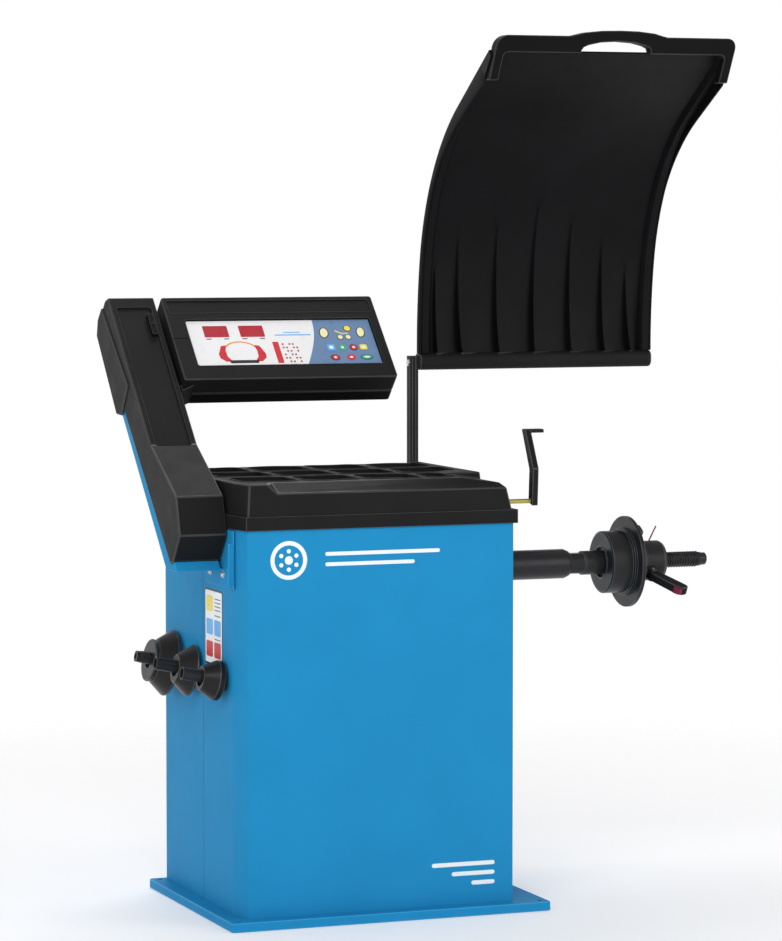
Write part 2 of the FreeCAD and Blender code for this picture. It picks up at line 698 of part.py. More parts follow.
def flange():
    """Wheel flange: a drum with a recess around the stem, and a disc with a raised seat."""
    node(turned("wheel_flange", [
        (D.drum_start + D.drum_recess, 0), (D.drum_start + D.drum_recess, D.recess_radius),
        (D.drum_start, D.recess_radius), (D.drum_start, D.drum_radius),
        (D.drum_end, D.drum_radius), (D.drum_end, D.disc_radius),
        (D.disc_end, D.disc_radius), (D.disc_end, D.seat_inner + 8),
        (D.disc_end + D.seat_height, D.seat_inner + 8), (D.disc_end + D.seat_height,
                                                         D.seat_inner),
        (D.disc_end, D.seat_inner), (D.disc_end, D.thread_radius),
        (D.disc_end - D.stub_length, D.thread_radius), (D.disc_end - D.stub_length, 0)],
        D.shaft_level))


def threaded_shaft():
    start = D.disc_end - D.stub_length
    node(turned("threaded_shaft", [
        (start, 0), (start, D.thread_radius), (D.thread_end - 3, D.thread_radius),
        (D.thread_end, D.thread_radius - 3), (D.thread_end, D.tip_radius),
        (D.tip_end - 1.5, D.tip_radius), (D.tip_end, D.tip_radius - 1.5), (D.tip_end, 0)],
        D.shaft_level))


def pressure_cup():
    web = D.cup_end - D.cup_web
    node(turned("pressure_cup", [
        (web, D.nut_bore), (web, D.cup_radius - D.cup_wall),
        (D.cup_start, D.cup_radius - D.cup_wall), (D.cup_start, D.cup_radius),
        (D.cup_end - 3, D.cup_radius), (D.cup_end, D.cup_radius - 3),
        (D.cup_end, D.nut_bore)], D.shaft_level))


def nut_part(body):
    """Puts a body drawn along the shaft (X, radius, width) at the lever's angle."""
    return place(body, 0, 0, D.shaft_level, (1, 0, 0), D.lever_angle)


def quick_nut():
    """Nut barrel with two ears, the cross pin through them, the lever and a red rod."""
    corner = 3
    barrel = turned("nut_barrel", [
        (D.nut_start, D.nut_bore), (D.nut_start, D.nut_radius),
        (D.nut_end - corner, D.nut_radius), (D.nut_end, D.nut_radius - corner),
        (D.nut_end, D.nut_bore)], D.shaft_level)
    inner = D.lever_half + 0.5
    across, out = D.lever_pivot, D.lever_pivot_radius
    eye = ring(across, out, D.lever_pin)
    face = [(across - 10, out - 18), (across + 10, out - 18), (across + 6, out + 6),
            (across - 6, out + 6)]
    ears = []
    for index, low in enumerate((-inner - D.ear_sheet, inner)):
        ear = new_body(f"nut_ear_{index}")
        pad(ear, "XY", [face, eye], low, low + D.ear_sheet)
        ears.append(nut_part(ear))
    node(plus("quick_nut", [barrel] + ears))

    pin = new_body("lever_pin")
    reach = inner + D.ear_sheet + 1
    pad(pin, "XY", [eye], -reach, reach)
    node(nut_part(pin))

    lever = new_body("nut_lever")
    outline = [(across - 6, out - 5), (across + 6, out - 5), (across + 52, out + 50),
               (across + 60, out + 62), (across + 56, out + 68), (across + 46, out + 70),
               (across + 34, out + 64), (across - 7, out + 10)]
    hole = ring(across, out, D.lever_pin + 0.05)
    pad(lever, "XY", [outline, hole], -D.lever_half, D.lever_half)
    node(nut_part(lever))

    node(place(post("nut_rod", D.pin_radius, 0, 0, 0, D.pin_length), D.lever_pivot + 10, 6,
               D.shaft_level + D.nut_radius - 12, (0, 1, 0), D.rod_lean))


# ---- drive ------------------------------------------------------------------------------------

def drive():
    """Motor with its shaft, both pulleys, the belt, and the angle encoder."""
    socket = D.motor_start + D.motor_socket
    node(turned("motor_body", [
        (D.motor_start, D.motor_bore), (socket, D.motor_bore), (socket, 0), (D.motor_end, 0),
        (D.motor_end, D.motor_radius), (D.motor_start, D.motor_radius)], D.motor_level))
    groove = 2.5
    for label, radius, level in (("spindle_pulley", D.pulley_big, D.shaft_level),
                                 ("motor_pulley", D.pulley_small, D.motor_level)):
        hub = D.journal_radius if label == "spindle_pulley" else D.motor_shaft_radius
        node(turned(label, [
            (D.pulley_start, hub), (D.pulley_end, hub), (D.pulley_end, radius + groove),
            (D.pulley_end - 2, radius + groove), (D.pulley_end - 2, radius),
            (D.pulley_start + 2, radius), (D.pulley_start + 2, radius + groove),
            (D.pulley_start, radius + groove)], level))
    node(rod("motor_shaft", D.motor_shaft_radius, D.pulley_start - 6, socket - 2, 0,
             D.motor_level))
    node(drive_belt())
    node(tube("encoder_disc", D.encoder_radius, D.journal_radius, D.encoder_start,
              D.encoder_start + D.encoder_sheet, 0, D.shaft_level))
    sensor = new_body("encoder_sensor")
    start, end = D.encoder_start - 8, D.encoder_start + D.encoder_sheet + 8
    low, high = D.shaft_level + D.encoder_radius - 10, D.shaft_level + D.encoder_radius + 10
    slot = D.encoder_start + D.encoder_sheet + 2
    jaws = [(start, low), (D.encoder_start - 2, low), (D.encoder_start - 2, high - 8),
            (slot, high - 8), (slot, low), (end, low), (end, high), (start, high)]
    pad(sensor, "XZ", [jaws], -9, 9)
    strap = [(end, high - 3), (D.housing_start + 12, high - 3),
             (D.housing_start + 12, D.shaft_level + D.housing_radius),
             (D.housing_start + 15, D.shaft_level + D.housing_radius),
             (D.housing_start + 15, high), (end, high)]
    pad(sensor, "XZ", [strap], -9, 9)
    node(sensor)


def belt_loop(big, small):
    """Closed outline around both pulleys: two straight runs and two arcs."""
    top, low = D.shaft_level.value, D.motor_level.value
    slope = math.asin((big - small) / (top - low))
    across, up = math.cos(slope), math.sin(slope)
    x = D.pulley_start.value + D.belt_inset.value

    def spot(side, centre, radius):
        return FreeCAD.Vector(x, side * radius * across, centre - radius * up)

    upper = [spot(side, top, big) for side in (-1, 1)]
    lower = [spot(side, low, small) for side in (-1, 1)]
    crown = FreeCAD.Vector(x, 0, top + big)
    keel = FreeCAD.Vector(x, 0, low - small)
    edges = [Part.Arc(upper[0], crown, upper[1]).toShape(),
             Part.LineSegment(upper[1], lower[1]).toShape(),
             Part.Arc(lower[1], keel, lower[0]).toShape(),
             Part.LineSegment(lower[0], upper[0]).toShape()]
    return Part.Face(Part.Wire(edges))


def drive_belt():
    gap, thick = D.belt_gap.value, D.belt_sheet.value
    big, small = D.pulley_big.value + gap, D.pulley_small.value + gap
    width = D.pulley_end.value - D.pulley_start.value - 2 * D.belt_inset.value
    loop = belt_loop(big + thick, small + thick).cut(belt_loop(big, small))
    item = DOC.addObject("Part::Feature", "drive_belt")
    item.Label = "drive_belt"
    item.Shape = loop.extrude(FreeCAD.Vector(width, 0, 0))
    return item


# ---- hood ---------------------------------------------------------------------------------------

def hood_line(depth):
    """Edges of the hood's side view, depth inside its outer skin, from the bottom up."""
    turn_one, turn_two = math.radians(D.wide_angle.value), math.radians(D.tight_angle.value)
    wide, tight = D.wide_bend.value - depth, D.tight_bend.value - depth
    left = D.hood_left.value
    back, level = D.hood_back.value, D.hood_straight.value
    start = FreeCAD.Vector(left, back - depth, D.rail_level.value + D.lip_rise.value)
    first = FreeCAD.Vector(left, back - depth, level)
    centre = FreeCAD.Vector(left, back - D.wide_bend.value, level)

    def on_arc(middle, radius, angle):
        return middle + FreeCAD.Vector(0, radius * math.cos(angle), radius * math.sin(angle))

    joint = on_arc(centre, wide, turn_one)
    shift = D.wide_bend.value - D.tight_bend.value
    second = on_arc(centre, shift, turn_one)
    end = on_arc(second, tight, turn_two)
    heading = FreeCAD.Vector(0, -math.sin(turn_two), math.cos(turn_two))
    run = (end.y - D.bar_back.value) / math.sin(turn_two)
    tip = end + heading * run
    return [Part.LineSegment(start, first).toShape(),
            Part.Arc(first, on_arc(centre, wide, turn_one / 2), joint).toShape(),
            Part.Arc(joint, on_arc(second, tight, (turn_one + turn_two) / 2), end).toShape(),
            Part.LineSegment(end, tip).toShape()]


def hood_strip(near, far, left, right):
    """A curved sheet between two depths and two X positions."""
    outer, inner = hood_line(near), hood_line(far)
    ends = [Part.LineSegment(outer[-1].Vertexes[-1].Point, inner[-1].Vertexes[-1].Point),
            Part.LineSegment(inner[0].Vertexes[0].Point, outer[0].Vertexes[0].Point)]
    face = Part.Face(Part.Wire(Part.__sortEdges__(
        outer + inner + [end.toShape() for end in ends])))
    strip = face.extrude(FreeCAD.Vector(right - left, 0, 0))
    strip.translate(FreeCAD.Vector(left - D.hood_left.value, 0, 0))
    return strip


def hood_shell():
    """Curved plastic sheet with a rim down both sides."""
    left, right, rim = D.hood_left.value, D.hood_right.value, D.rim_width.value
    sheet = hood_strip(0, D.hood_sheet.value, left, right)
    sides = [hood_strip(0, D.rim_depth.value, left, left + rim),
             hood_strip(0, D.rim_depth.value, right - rim, right)]
    item = DOC.addObject("Part::Feature", "hood_shell")
    item.Label = "hood_shell"
    item.Shape = sheet.fuse(sides).removeSplitter()
    node(item)


def hood_front_bar():
    """Stiff front edge of the hood: a strip with two short legs and a slot for the hand."""
    body = new_body("hood_front_bar")
    left, right, corner = D.hood_left, D.hood_right, D.bar_corner
    middle = (left + right) / 2
    outline = [(left, D.bar_low), (left + D.leg_width, D.bar_low),
               (left + D.leg_width, D.strip_low), (right - D.leg_width, D.strip_low),
               (right - D.leg_width, D.bar_low), (right, D.bar_low),
               (right, D.bar_high - corner),
               (right - corner * 0.3, D.bar_high - corner * 0.3), (right - corner, D.bar_high),
               (middle + D.bulge_half, D.bar_high),
               (middle + D.bulge_half - 16, D.bar_high + D.bulge_rise),
               (middle - D.bulge_half + 16, D.bar_high + D.bulge_rise),
               (middle - D.bulge_half, D.bar_high), (left + corner, D.bar_high),
               (left + corner * 0.3, D.bar_high - corner * 0.3), (left, D.bar_high - corner)]
    pad(body, "XZ", [outline], D.bar_front, D.bar_back)
    slot = [(middle - D.slot_half, D.strip_low - 1), (middle + D.slot_half, D.strip_low - 1),
            (middle + D.slot_half - 8, D.slot_high), (middle - D.slot_half + 8, D.slot_high)]
    pocket(body, "XZ", [slot], D.bar_front - 1, D.bar_back + 1)
    node(body)


def hood_carrier():
    """Hood lip, the arm with its pivot boss and welded rail, and the pivot shaft."""
    lip = new_body("hood_lip")
    frame = rectangle(D.pivot_back - D.lip_half, D.rail_level - D.lip_rise,
                      D.pivot_back + D.lip_half, D.rail_level + D.lip_rise)
    bore = ring(D.pivot_back, D.rail_level, D.rail_radius)
    pad(lip, "YZ", [frame], D.hood_left, D.hood_right)
    pocket(lip, "YZ", [bore], D.hood_left, D.hood_right + 1)
    node(lip)

    rail = rod("arm_rail", D.rail_radius, D.arm_left + D.arm_width, D.hood_right - 6,
               D.pivot_back, D.rail_level)
    half = D.arm_width / 2
    arm = box("arm_tube", (D.arm_left, D.pivot_back - half, D.pivot_level),
              (D.arm_left + D.arm_width, D.pivot_back + half, D.rail_level + D.rail_radius))
    boss = rod("arm_boss", D.boss_radius, D.arm_left, D.arm_left + D.arm_width, D.pivot_back,
               D.pivot_level)
    eye = rod("arm_eye", D.pivot_radius, D.arm_left - 1, D.arm_left + D.arm_width + 1,
              D.pivot_back, D.pivot_level)
    node(minus("hood_arm", plus("arm_body", [arm, boss, rail]), eye))
    node(rod("hood_pivot_shaft", D.pivot_radius, D.cheek_left - 12,
             D.arm_left + D.arm_width, D.pivot_back, D.pivot_level))


def hood_bracket():
    """Bracket on the cabinet's back: a plate, two cheeks with bushes, and both stop pins."""
    body = new_body("hood_bracket")
    sheet = D.cheek_sheet
    plate = rectangle(D.cheek_left, D.cheek_low, D.cheek_right + sheet, D.skirt_low - 1)
    pad(body, "XZ", [plate], D.cabinet_back, D.cabinet_back + sheet)
    side = [(D.cabinet_back, D.cheek_low), (D.cheek_front + 20, D.cheek_low),
            (D.cheek_back, D.cheek_belly), (D.cheek_back, D.cheek_high),
            (D.cheek_front, D.cheek_high), (D.cheek_front, D.skirt_low - 1),
            (D.cabinet_back, D.skirt_low - 1)]
    seat = ring(D.pivot_back, D.pivot_level, D.bush_radius)
    for left in (D.cheek_left, D.cheek_right):
        pad(body, "YZ", [side], left, left + sheet)
    pocket(body, "YZ", [seat], D.cheek_left - 1, D.cheek_right + sheet + 1)
    node(body)
    bushes = [tube(f"bush_{index}", D.bush_radius, D.pivot_radius + D.bush_clearance,
                   left - 1, left + sheet + 1, D.pivot_back, D.pivot_level)
              for index, left in enumerate((D.cheek_left, D.cheek_right))]
    node(group("hood_bushes", bushes))
    pins = [rod(f"stop_{index}", D.stop_radius, D.cheek_right + sheet,
                D.arm_left + D.arm_width, back, level)
            for index, (back, level) in enumerate((
                (D.open_stop_back, D.open_stop_level), (D.closed_stop_back, D.closed_stop_level)))]
    node(group("hood_stops", pins))


# ---- distance gauge -------------------------------------------------------------------------------

def gauge():
    """Sliding, turning rod with its bent arm, and the bracket, rail and carriage that guide it."""
    body = new_body("gauge_bracket")
    front, back = D.rail_back - 10, D.gauge_back + 20
    low = D.deck_level + D.deck_sheet
    top = D.gauge_level + 13
    pad(body, "XY", [rectangle(D.gauge_left, front, D.gauge_right, back)], low, low + 3)
    pad(body, "YZ", [rectangle(front, low, back, top)], D.gauge_left,
        D.gauge_left + D.gauge_cheek)
    pad(body, "YZ", [rectangle(front, low, back, top)], D.gauge_right - D.guide_cheek,
        D.gauge_right)
    bore = ring(D.gauge_back, D.gauge_level, D.rod_radius + D.bush_clearance)
    pocket(body, "YZ", [bore], D.gauge_left - 1, D.gauge_right + 1)
    seat = ring(D.rail_back, D.rail_height, D.slide_radius)
    pocket(body, "YZ", [seat], D.gauge_left - 1, D.gauge_right + 1)
    node(body)
    node(rod("gauge_rail", D.slide_radius, D.gauge_left, D.gauge_right, D.rail_back,
             D.rail_height))

    carriage = new_body("gauge_carriage")
    block = rectangle(D.rail_back - 9, low + 12, D.gauge_back + 12, top)
    pad(carriage, "YZ", [block], D.carriage_start, D.carriage_end)
    holes = [bore, ring(D.rail_back, D.rail_height, D.slide_radius + D.bush_clearance)]
    pocket(carriage, "YZ", holes, D.carriage_start - 1, D.carriage_end + 1)
    node(carriage)

    node(rod("gauge_rod", D.rod_radius, D.rod_start, D.rod_end, D.gauge_back, D.gauge_level))
    arm = new_body("gauge_arm")
    half, y, z = D.arm_half, D.gauge_back, D.gauge_level
    outline = [(y - half, z - 10), (y + half, z - 10), (y + half + D.elbow_back, z + D.elbow_rise),
               (y + half + D.gauge_lean, z + D.gauge_rise),
               (y - half + D.gauge_lean, z + D.gauge_rise),
               (y - half + D.elbow_back, z + D.elbow_rise)]
    pad(arm, "YZ", [outline], D.arm_start, D.arm_start + D.arm_sheet)
    finger = rectangle(y - half + D.gauge_lean, z + D.gauge_rise - 7, y + half + D.gauge_lean,
                       z + D.gauge_rise)
    pad(arm, "YZ", [finger], D.arm_start, D.arm_start + D.finger_length)
    pocket(arm, "YZ", [ring(y, z, D.rod_radius)], D.arm_start - 1,
           D.arm_start + D.arm_sheet + 1)
    node(arm)


# ---- pegs and cones ---------------------------------------------------------------------------------

PEG_BACKS = (190, 48, -138)
CONES = (
    ("cone_large", 17, ((0, 73), (4, 73), (38, 47), (40, 43), (44, 43), (44, 47), (50, 46))),
    ("cone_medium", 13, ((0, 56.5), (4, 56.5), (36, 31), (38, 30))),
    ("cone_small", 10, ((0, 43), (13, 43), (42, 27), (44, 26))),
)


def on_peg(item, back, drop):
    """Puts a body drawn along X on a peg, drop below the peg's axis."""
    tilt = math.radians(D.peg_tilt.value)
    place(item, D.cabinet_left - drop * math.sin(tilt), back,
          D.peg_level - drop * math.cos(tilt), (0, 1, 0), D.peg_tilt + 180)
    return item


def pegs_and_cones():
    """Three pegs that slope up and out of the cabinet's side, each with its cone."""
    studs = []
    for index, back in enumerate(PEG_BACKS):
        stud = on_peg(turned(f"peg_{index}_stud", [
            (D.plate_sheet, 0), (D.plate_sheet, D.peg_radius),
            (D.peg_length, D.peg_radius), (D.peg_length, D.peg_bore),
            (D.peg_length - 60, D.peg_bore), (D.peg_length - 60, 0)]), back, 0)
        plate = rod(f"peg_{index}_plate", D.plate_radius, D.cabinet_left - D.plate_sheet,
                    D.cabinet_left, back, D.peg_level)
        studs.append(plus(f"peg_{index}", [stud, plate]))
    node(group("storage_pegs", studs))
    for back, (label, start, outline) in zip(PEG_BACKS, CONES):
        skin = [(start + along, radius) for along, radius in outline]
        end = skin[-1][0]
        corners = [(start, D.cone_bore)] + skin + [(end, D.cone_bore)]
        node(on_peg(turned(label, corners), back, D.cone_drop.value))


# ---- power entry --------------------------------------------------------------------------------------

def power_entry():
    """Mains inlet, rocker switch and the box of the power board, inside the back."""
    back = D.cabinet_back
    inlet = new_body("mains_inlet")
    body_face = rectangle(D.inlet_x - D.inlet_half + 0.5, D.inlet_level - D.inlet_rise + 0.5,
                          D.inlet_x + D.inlet_half - 0.5, D.inlet_level + D.inlet_rise - 0.5)
    rim = rectangle(D.inlet_x - D.inlet_half - 3, D.inlet_level - D.inlet_rise - 3,
                    D.inlet_x + D.inlet_half + 3, D.inlet_level + D.inlet_rise + 3)
    pad(inlet, "XZ", [rim], back, back + 2.5)
    pad(inlet, "XZ", [body_face], back - 22, back)
    socket = rectangle(D.inlet_x - 12, D.inlet_level - 8, D.inlet_x + 12, D.inlet_level + 8)
    pocket(inlet, "XZ", [socket], back - 16, back + 3)
    node(inlet)

    frame = new_body("switch_frame")
    outer = rectangle(D.switch_x - D.switch_half + 0.5, D.inlet_level - D.switch_rise + 0.5,
                      D.switch_x + D.switch_half - 0.5, D.inlet_level + D.switch_rise - 0.5)
    lip = rectangle(D.switch_x - D.switch_half - 2, D.inlet_level - D.switch_rise - 2,
                    D.switch_x + D.switch_half + 2, D.inlet_level + D.switch_rise + 2)
    pad(frame, "XZ", [lip], back, back + 2)
    pad(frame, "XZ", [outer], back - 20, back)
    well = rectangle(D.switch_x - D.switch_half + 2.5, D.inlet_level - D.switch_rise + 2.5,
                     D.switch_x + D.switch_half - 2.5, D.inlet_level + D.switch_rise - 2.5)
    pocket(frame, "XZ", [well], back - 14, back + 3)
    node(frame)

    rocker = new_body("switch_rocker")
    rise = D.switch_rise - 4.0 - D.rocker_gap
    wedge = [(-2, -rise), (8, -rise), (5.5, 0), (8, rise), (-2, rise)]
    half = D.switch_half - 2.5 - D.rocker_gap
    pad(rocker, "YZ", [wedge], -half, half)
    node(place(rocker, D.switch_x, back - 4, D.inlet_level, (1, 0, 0), D.rocker_tilt))

    case = new_body("power_box")
    wall = 2
    pad(case, "XY", [rectangle(D.box_left, D.box_front, D.box_right, D.box_back)],
        D.base_height, D.box_top)
    inside = rectangle(D.box_left + wall, D.box_front + wall, D.box_right - wall,
                       D.box_back - wall)
    pocket(case, "XY", [inside], D.base_height, D.box_top - wall)
    node(case)
    node(box("power_board", (D.box_left + wall, D.box_front + 20, D.base_height + 30),
             (D.box_left + wall + D.board_sheet, D.box_back - 20, D.box_top - 30)))


# ---- build, check, write ------------------------------------------------------------------------------

def build_all():
    for make in (base_plate, cabinet_front, cabinet_rear, top_deck, weight_tray,
                 post_front_cover, post_column, post_bracket, bracket_bolts, post_rear_cover,
                 display_housing, display_back_cover, display_inside, display_bracket,
                 display_clip, spindle_housing, housing_block, pedestal, main_shaft, flange,
                 threaded_shaft, pressure_cup, quick_nut, drive, hood_shell, hood_front_bar,
                 hood_carrier, hood_bracket, gauge, pegs_and_cones, power_entry):
        make()
    DOC.recompute()


def check_all():
    """Stops if any object failed or any sub-part has no valid shape."""
    for item in DOC.Objects:
        for word in ("Invalid", "Error"):
            if word in item.State:
                raise RuntimeError(f"{item.Label} is {word}")
    for item in NODES:
        shape = item.Shape
        if shape.isNull() or not shape.isValid() or not shape.Solids:
            raise RuntimeError(f"{item.Label} has no valid solid")


def write_all():
    os.makedirs("parts", exist_ok=True)
    for item in NODES:
        item.Shape.exportStep(f"parts/{item.Label}.step")
        bounds = item.Shape.BoundBox
        print(f"{item.Label}: {len(item.Shape.Solids)} solids, {item.Shape.Volume / 1000:.1f} cm3,"
              f" X {bounds.XMin:.1f}..{bounds.XMax:.1f} Y {bounds.YMin:.1f}..{bounds.YMax:.1f}"
              f" Z {bounds.ZMin:.1f}..{bounds.ZMax:.1f}")


build_all()
check_all()
write_all()
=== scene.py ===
from math import acos, cos, degrees, pi, radians, sin, sqrt, tan
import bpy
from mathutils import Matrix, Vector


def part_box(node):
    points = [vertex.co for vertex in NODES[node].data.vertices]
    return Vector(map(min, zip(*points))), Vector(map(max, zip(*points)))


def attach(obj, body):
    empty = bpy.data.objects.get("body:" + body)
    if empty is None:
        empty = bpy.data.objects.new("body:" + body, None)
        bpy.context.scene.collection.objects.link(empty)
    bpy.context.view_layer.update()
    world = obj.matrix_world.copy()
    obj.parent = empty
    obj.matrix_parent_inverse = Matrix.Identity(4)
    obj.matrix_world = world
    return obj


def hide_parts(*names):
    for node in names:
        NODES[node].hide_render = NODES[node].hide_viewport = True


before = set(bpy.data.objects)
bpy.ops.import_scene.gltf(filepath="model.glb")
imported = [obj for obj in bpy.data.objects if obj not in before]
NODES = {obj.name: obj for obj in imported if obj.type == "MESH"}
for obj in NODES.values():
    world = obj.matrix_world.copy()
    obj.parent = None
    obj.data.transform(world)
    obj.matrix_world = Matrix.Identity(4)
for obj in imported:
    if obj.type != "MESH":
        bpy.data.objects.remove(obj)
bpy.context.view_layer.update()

from types import SimpleNamespace

import bmesh
import bpy
from mathutils import Matrix, Vector

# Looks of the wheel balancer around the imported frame. Sizes here are millimetres in the frame's
# own axes; settle() and cut() turn them into metres.

MM = 0.001
SHAFT_LEVEL = 725
SHAFT_AXIS = (0, SHAFT_LEVEL)


def low(node):
    """Lowest corner of a CAD node, in millimetres."""
    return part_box(node)[0] / MM


def high(node):
    """Highest corner of a CAD node, in millimetres."""
    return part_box(node)[1] / MM


def middle_of(node):
    return low(node) / 2 + high(node) / 2


def lerp(start, end, share):
    return start + (end - start) * share


# ---- camera and light ----

CAMERA_SPOT = (-2892.3, -7782.5, 1521.7)
CAMERA_YAW, CAMERA_PITCH = 21.06, 3.96
CAMERA_LENS = 145.4


def make_camera():
    data = bpy.data.cameras.new("camera")
    data.lens = CAMERA_LENS
    data.sensor_width = 36
    data.clip_end = 200
    camera = bpy.data.objects.new("camera", data)
    bpy.context.scene.collection.objects.link(camera)
    camera.location = Vector(CAMERA_SPOT) * MM
    camera.rotation_euler = (radians(90 - CAMERA_PITCH), 0, radians(-CAMERA_YAW))
    bpy.context.scene.camera = camera


def area_light(name, spot, target, size, power):
    data = bpy.data.lights.new(name, "AREA")
    data.shape = "RECTANGLE"
    data.size, data.size_y = size
    data.energy = power
    light = bpy.data.objects.new(name, data)
    light.location = spot
    heading = Vector(target) - Vector(spot)
    light.rotation_euler = heading.to_track_quat("-Z", "Y").to_euler()
    bpy.context.scene.collection.objects.link(light)


def add(tree, kind, inputs=None, **settings):
    """A new shader node of a kind, with its settings and its inputs as feed() takes them."""
    node = tree.nodes.new("ShaderNode" + kind)
    for name, value in settings.items():
        setattr(node, name, value)
    feed(tree, node, inputs or {})
    return node


def feed(tree, node, inputs):
    """Fills a node's inputs, each with a value or with the socket that drives it."""
    for name, value in inputs.items():
        if isinstance(value, bpy.types.NodeSocket):
            tree.links.new(value, node.inputs[name])
        else:
            node.inputs[name].default_value = value


def make_world():
    """White at the height of the horizon and greyer above it, so that black parts keep shape."""
    world = bpy.data.worlds.new("studio")
    world.use_nodes = True
    tree = world.node_tree
    place = add(tree, "TexCoord").outputs["Generated"]
    rise = add(tree, "SeparateXYZ", {0: place}).outputs["Z"]
    ramp = add(tree, "ValToRGB", {"Fac": rise})
    stops = ramp.color_ramp.elements
    stops[0].position, stops[0].color = 0.12, (1, 1, 1, 1)
    stops[1].position, stops[1].color = 0.40, (0.42, 0.42, 0.43, 1)
    feed(tree, tree.nodes["Background"], {"Color": ramp.outputs["Color"], "Strength": 1.0})
    bpy.context.scene.world = world


def make_floor():
    """Pale round floor that fades into the backdrop."""
    radius, drop, fade_start, fade_end = 7.0, 0.0005, 1.0, 3.2
    mesh = bpy.data.meshes.new("floor")
    bm = bmesh.new()
    bmesh.ops.create_circle(bm, cap_ends=True, radius=radius, segments=96)
    bm.to_mesh(mesh)
    bm.free()
    floor = bpy.data.objects.new("floor", mesh)
    bpy.context.scene.collection.objects.link(floor)
    floor.location.z = -drop
    material = bpy.data.materials.new("pale_floor")
    material.use_nodes = True
    tree = material.node_tree
    shader = tree.nodes["Principled BSDF"]
    feed(tree, shader, {"Base Color": (0.92, 0.92, 0.92, 1), "Emission Color": (1, 1, 1, 1),
        "Emission Strength": 0.16, "Roughness": 0.75, "Specular IOR Level": 0.2})
    place = add(tree, "TexCoord").outputs["Object"]
    length = add(tree, "VectorMath", {0: place}, operation="LENGTH").outputs["Value"]
    fade = add(tree, "MapRange", {"Value": length, "From Min": fade_start, "From Max": fade_end},
        interpolation_type="SMOOTHSTEP")
    clear = add(tree, "BsdfTransparent")
    mix = add(tree, "MixShader", {"Fac": fade.outputs["Result"], 1: shader.outputs["BSDF"],
        2: clear.outputs["BSDF"]})
    feed(tree, tree.nodes["Material Output"], {"Surface": mix.outputs["Shader"]})
    mesh.materials.append(material)


def make_stage():
    bpy.context.scene.view_settings.view_transform = "Standard"
    make_camera()
    make_world()
    make_floor()
    area_light("key", (-2.2, -3.6, 3.6), (0, 0, 1.0), (2.6, 2.0), 95)
    area_light("fill", (3.4, -3.0, 2.0), (0.3, 0, 1.0), (2.0, 2.4), 38)
    area_light("top", (0.4, 1.6, 3.8), (0.2, 0, 1.2), (2.4, 1.6), 50)
    area_light("side", (-4.2, 0.2, 1.6), (-0.3, 0, 0.6), (1.8, 2.4), 9)


# ---- materials ----

CLOUDS, SMEARS, EDGE_WEAR_AND_HIGHLIGHT_SPOTS = 7, 22, 60  # scales of the broad tints, smears, and edge spots of rubbed wear and painted highlight, per metre
EDGE_WEAR_AND_HIGHLIGHT_WIDTH = 1.2 * MM


def noise(tree, place, scale, detail, stretch=(1, 1, 1)):
    """A noise texture in the object's own coordinates; scale is in cycles per metre."""
    mapping = add(tree, "Mapping", {"Scale": stretch, "Vector": place})
    texture = add(tree, "TexNoise", {"Scale": scale, "Detail": detail,
        "Vector": mapping.outputs["Vector"]})
    return texture.outputs["Fac"]


def ranged(tree, source, start, end, first=0.3, last=0.7):
    """Maps a value between first and last to start and end."""
    return add(tree, "MapRange", {"From Min": first, "From Max": last, "To Min": start, "To Max": end,
        "Value": source}).outputs["Result"]


def blended(tree, factor, first, second):
    """Mixes two colours by a factor; inputs 6 and 7 of the node are its colours."""
    return add(tree, "Mix", {"Factor": factor, 6: first, 7: second}, data_type="RGBA").outputs[2]


def surface(name, colour, roughness, grain, metallic=0.0, level=0.5, coat=0.0, mottle=0.12,
            edge_wear_and_highlight=None, stretch=(1, 1, 1), spread=0.08):
    """A finish: grain is (cycles per metre, depth in mm), mottle the change of brightness over
    broad patches, edge_wear_and_highlight the lighter colour put in spots along edges, which is partly
    rubbed wear and partly a painted edge highlight, stretch draws the grain out."""
    material = bpy.data.materials.new(name)
    material.use_nodes = True
    tree = material.node_tree
    place = add(tree, "TexCoord").outputs["Object"]

    darker = [part * (1 - mottle) for part in colour]
    lighter = [min(1.0, part * (1 + mottle)) for part in colour]
    tint = ranged(tree, noise(tree, place, CLOUDS, 4), 0.0, 1.0)
    skin = blended(tree, tint, (*darker, 1), (*lighter, 1))
    # Edges found by the Bevel node take the lighter colour in noisy spots: partly rubbed wear, partly a
    # painted edge highlight.
    if edge_wear_and_highlight is not None:
        bevel = add(tree, "Bevel", {"Radius": EDGE_WEAR_AND_HIGHLIGHT_WIDTH}, samples=4)
        flat = add(tree, "NewGeometry")
        alike = add(tree, "VectorMath", {0: bevel.outputs["Normal"], 1: flat.outputs["Normal"]},
            operation="DOT_PRODUCT")
        edge = ranged(tree, alike.outputs["Value"], 1.0, 0.0, 0.88, 0.99)
        patches = ranged(tree, noise(tree, place, EDGE_WEAR_AND_HIGHLIGHT_SPOTS, 5), 0.0, 0.55, 0.42, 0.66)
        both = add(tree, "Math", {0: edge, 1: patches}, operation="MULTIPLY")
        skin = blended(tree, both.outputs["Value"], skin, (*edge_wear_and_highlight, 1))

    smears = noise(tree, place, SMEARS, 5)
    cycles, depth = grain
    bump = add(tree, "Bump", {"Strength": 1.0, "Distance": depth * MM,
        "Height": noise(tree, place, cycles, 2, stretch)})
    feed(tree, tree.nodes["Principled BSDF"], {"Base Color": skin, "Normal": bump.outputs["Normal"],
        "Metallic": metallic, "Roughness": ranged(tree, smears, roughness - spread, roughness + spread),
        "Specular IOR Level": level, "Coat Weight": coat, "Coat Roughness": 0.25})
    return material


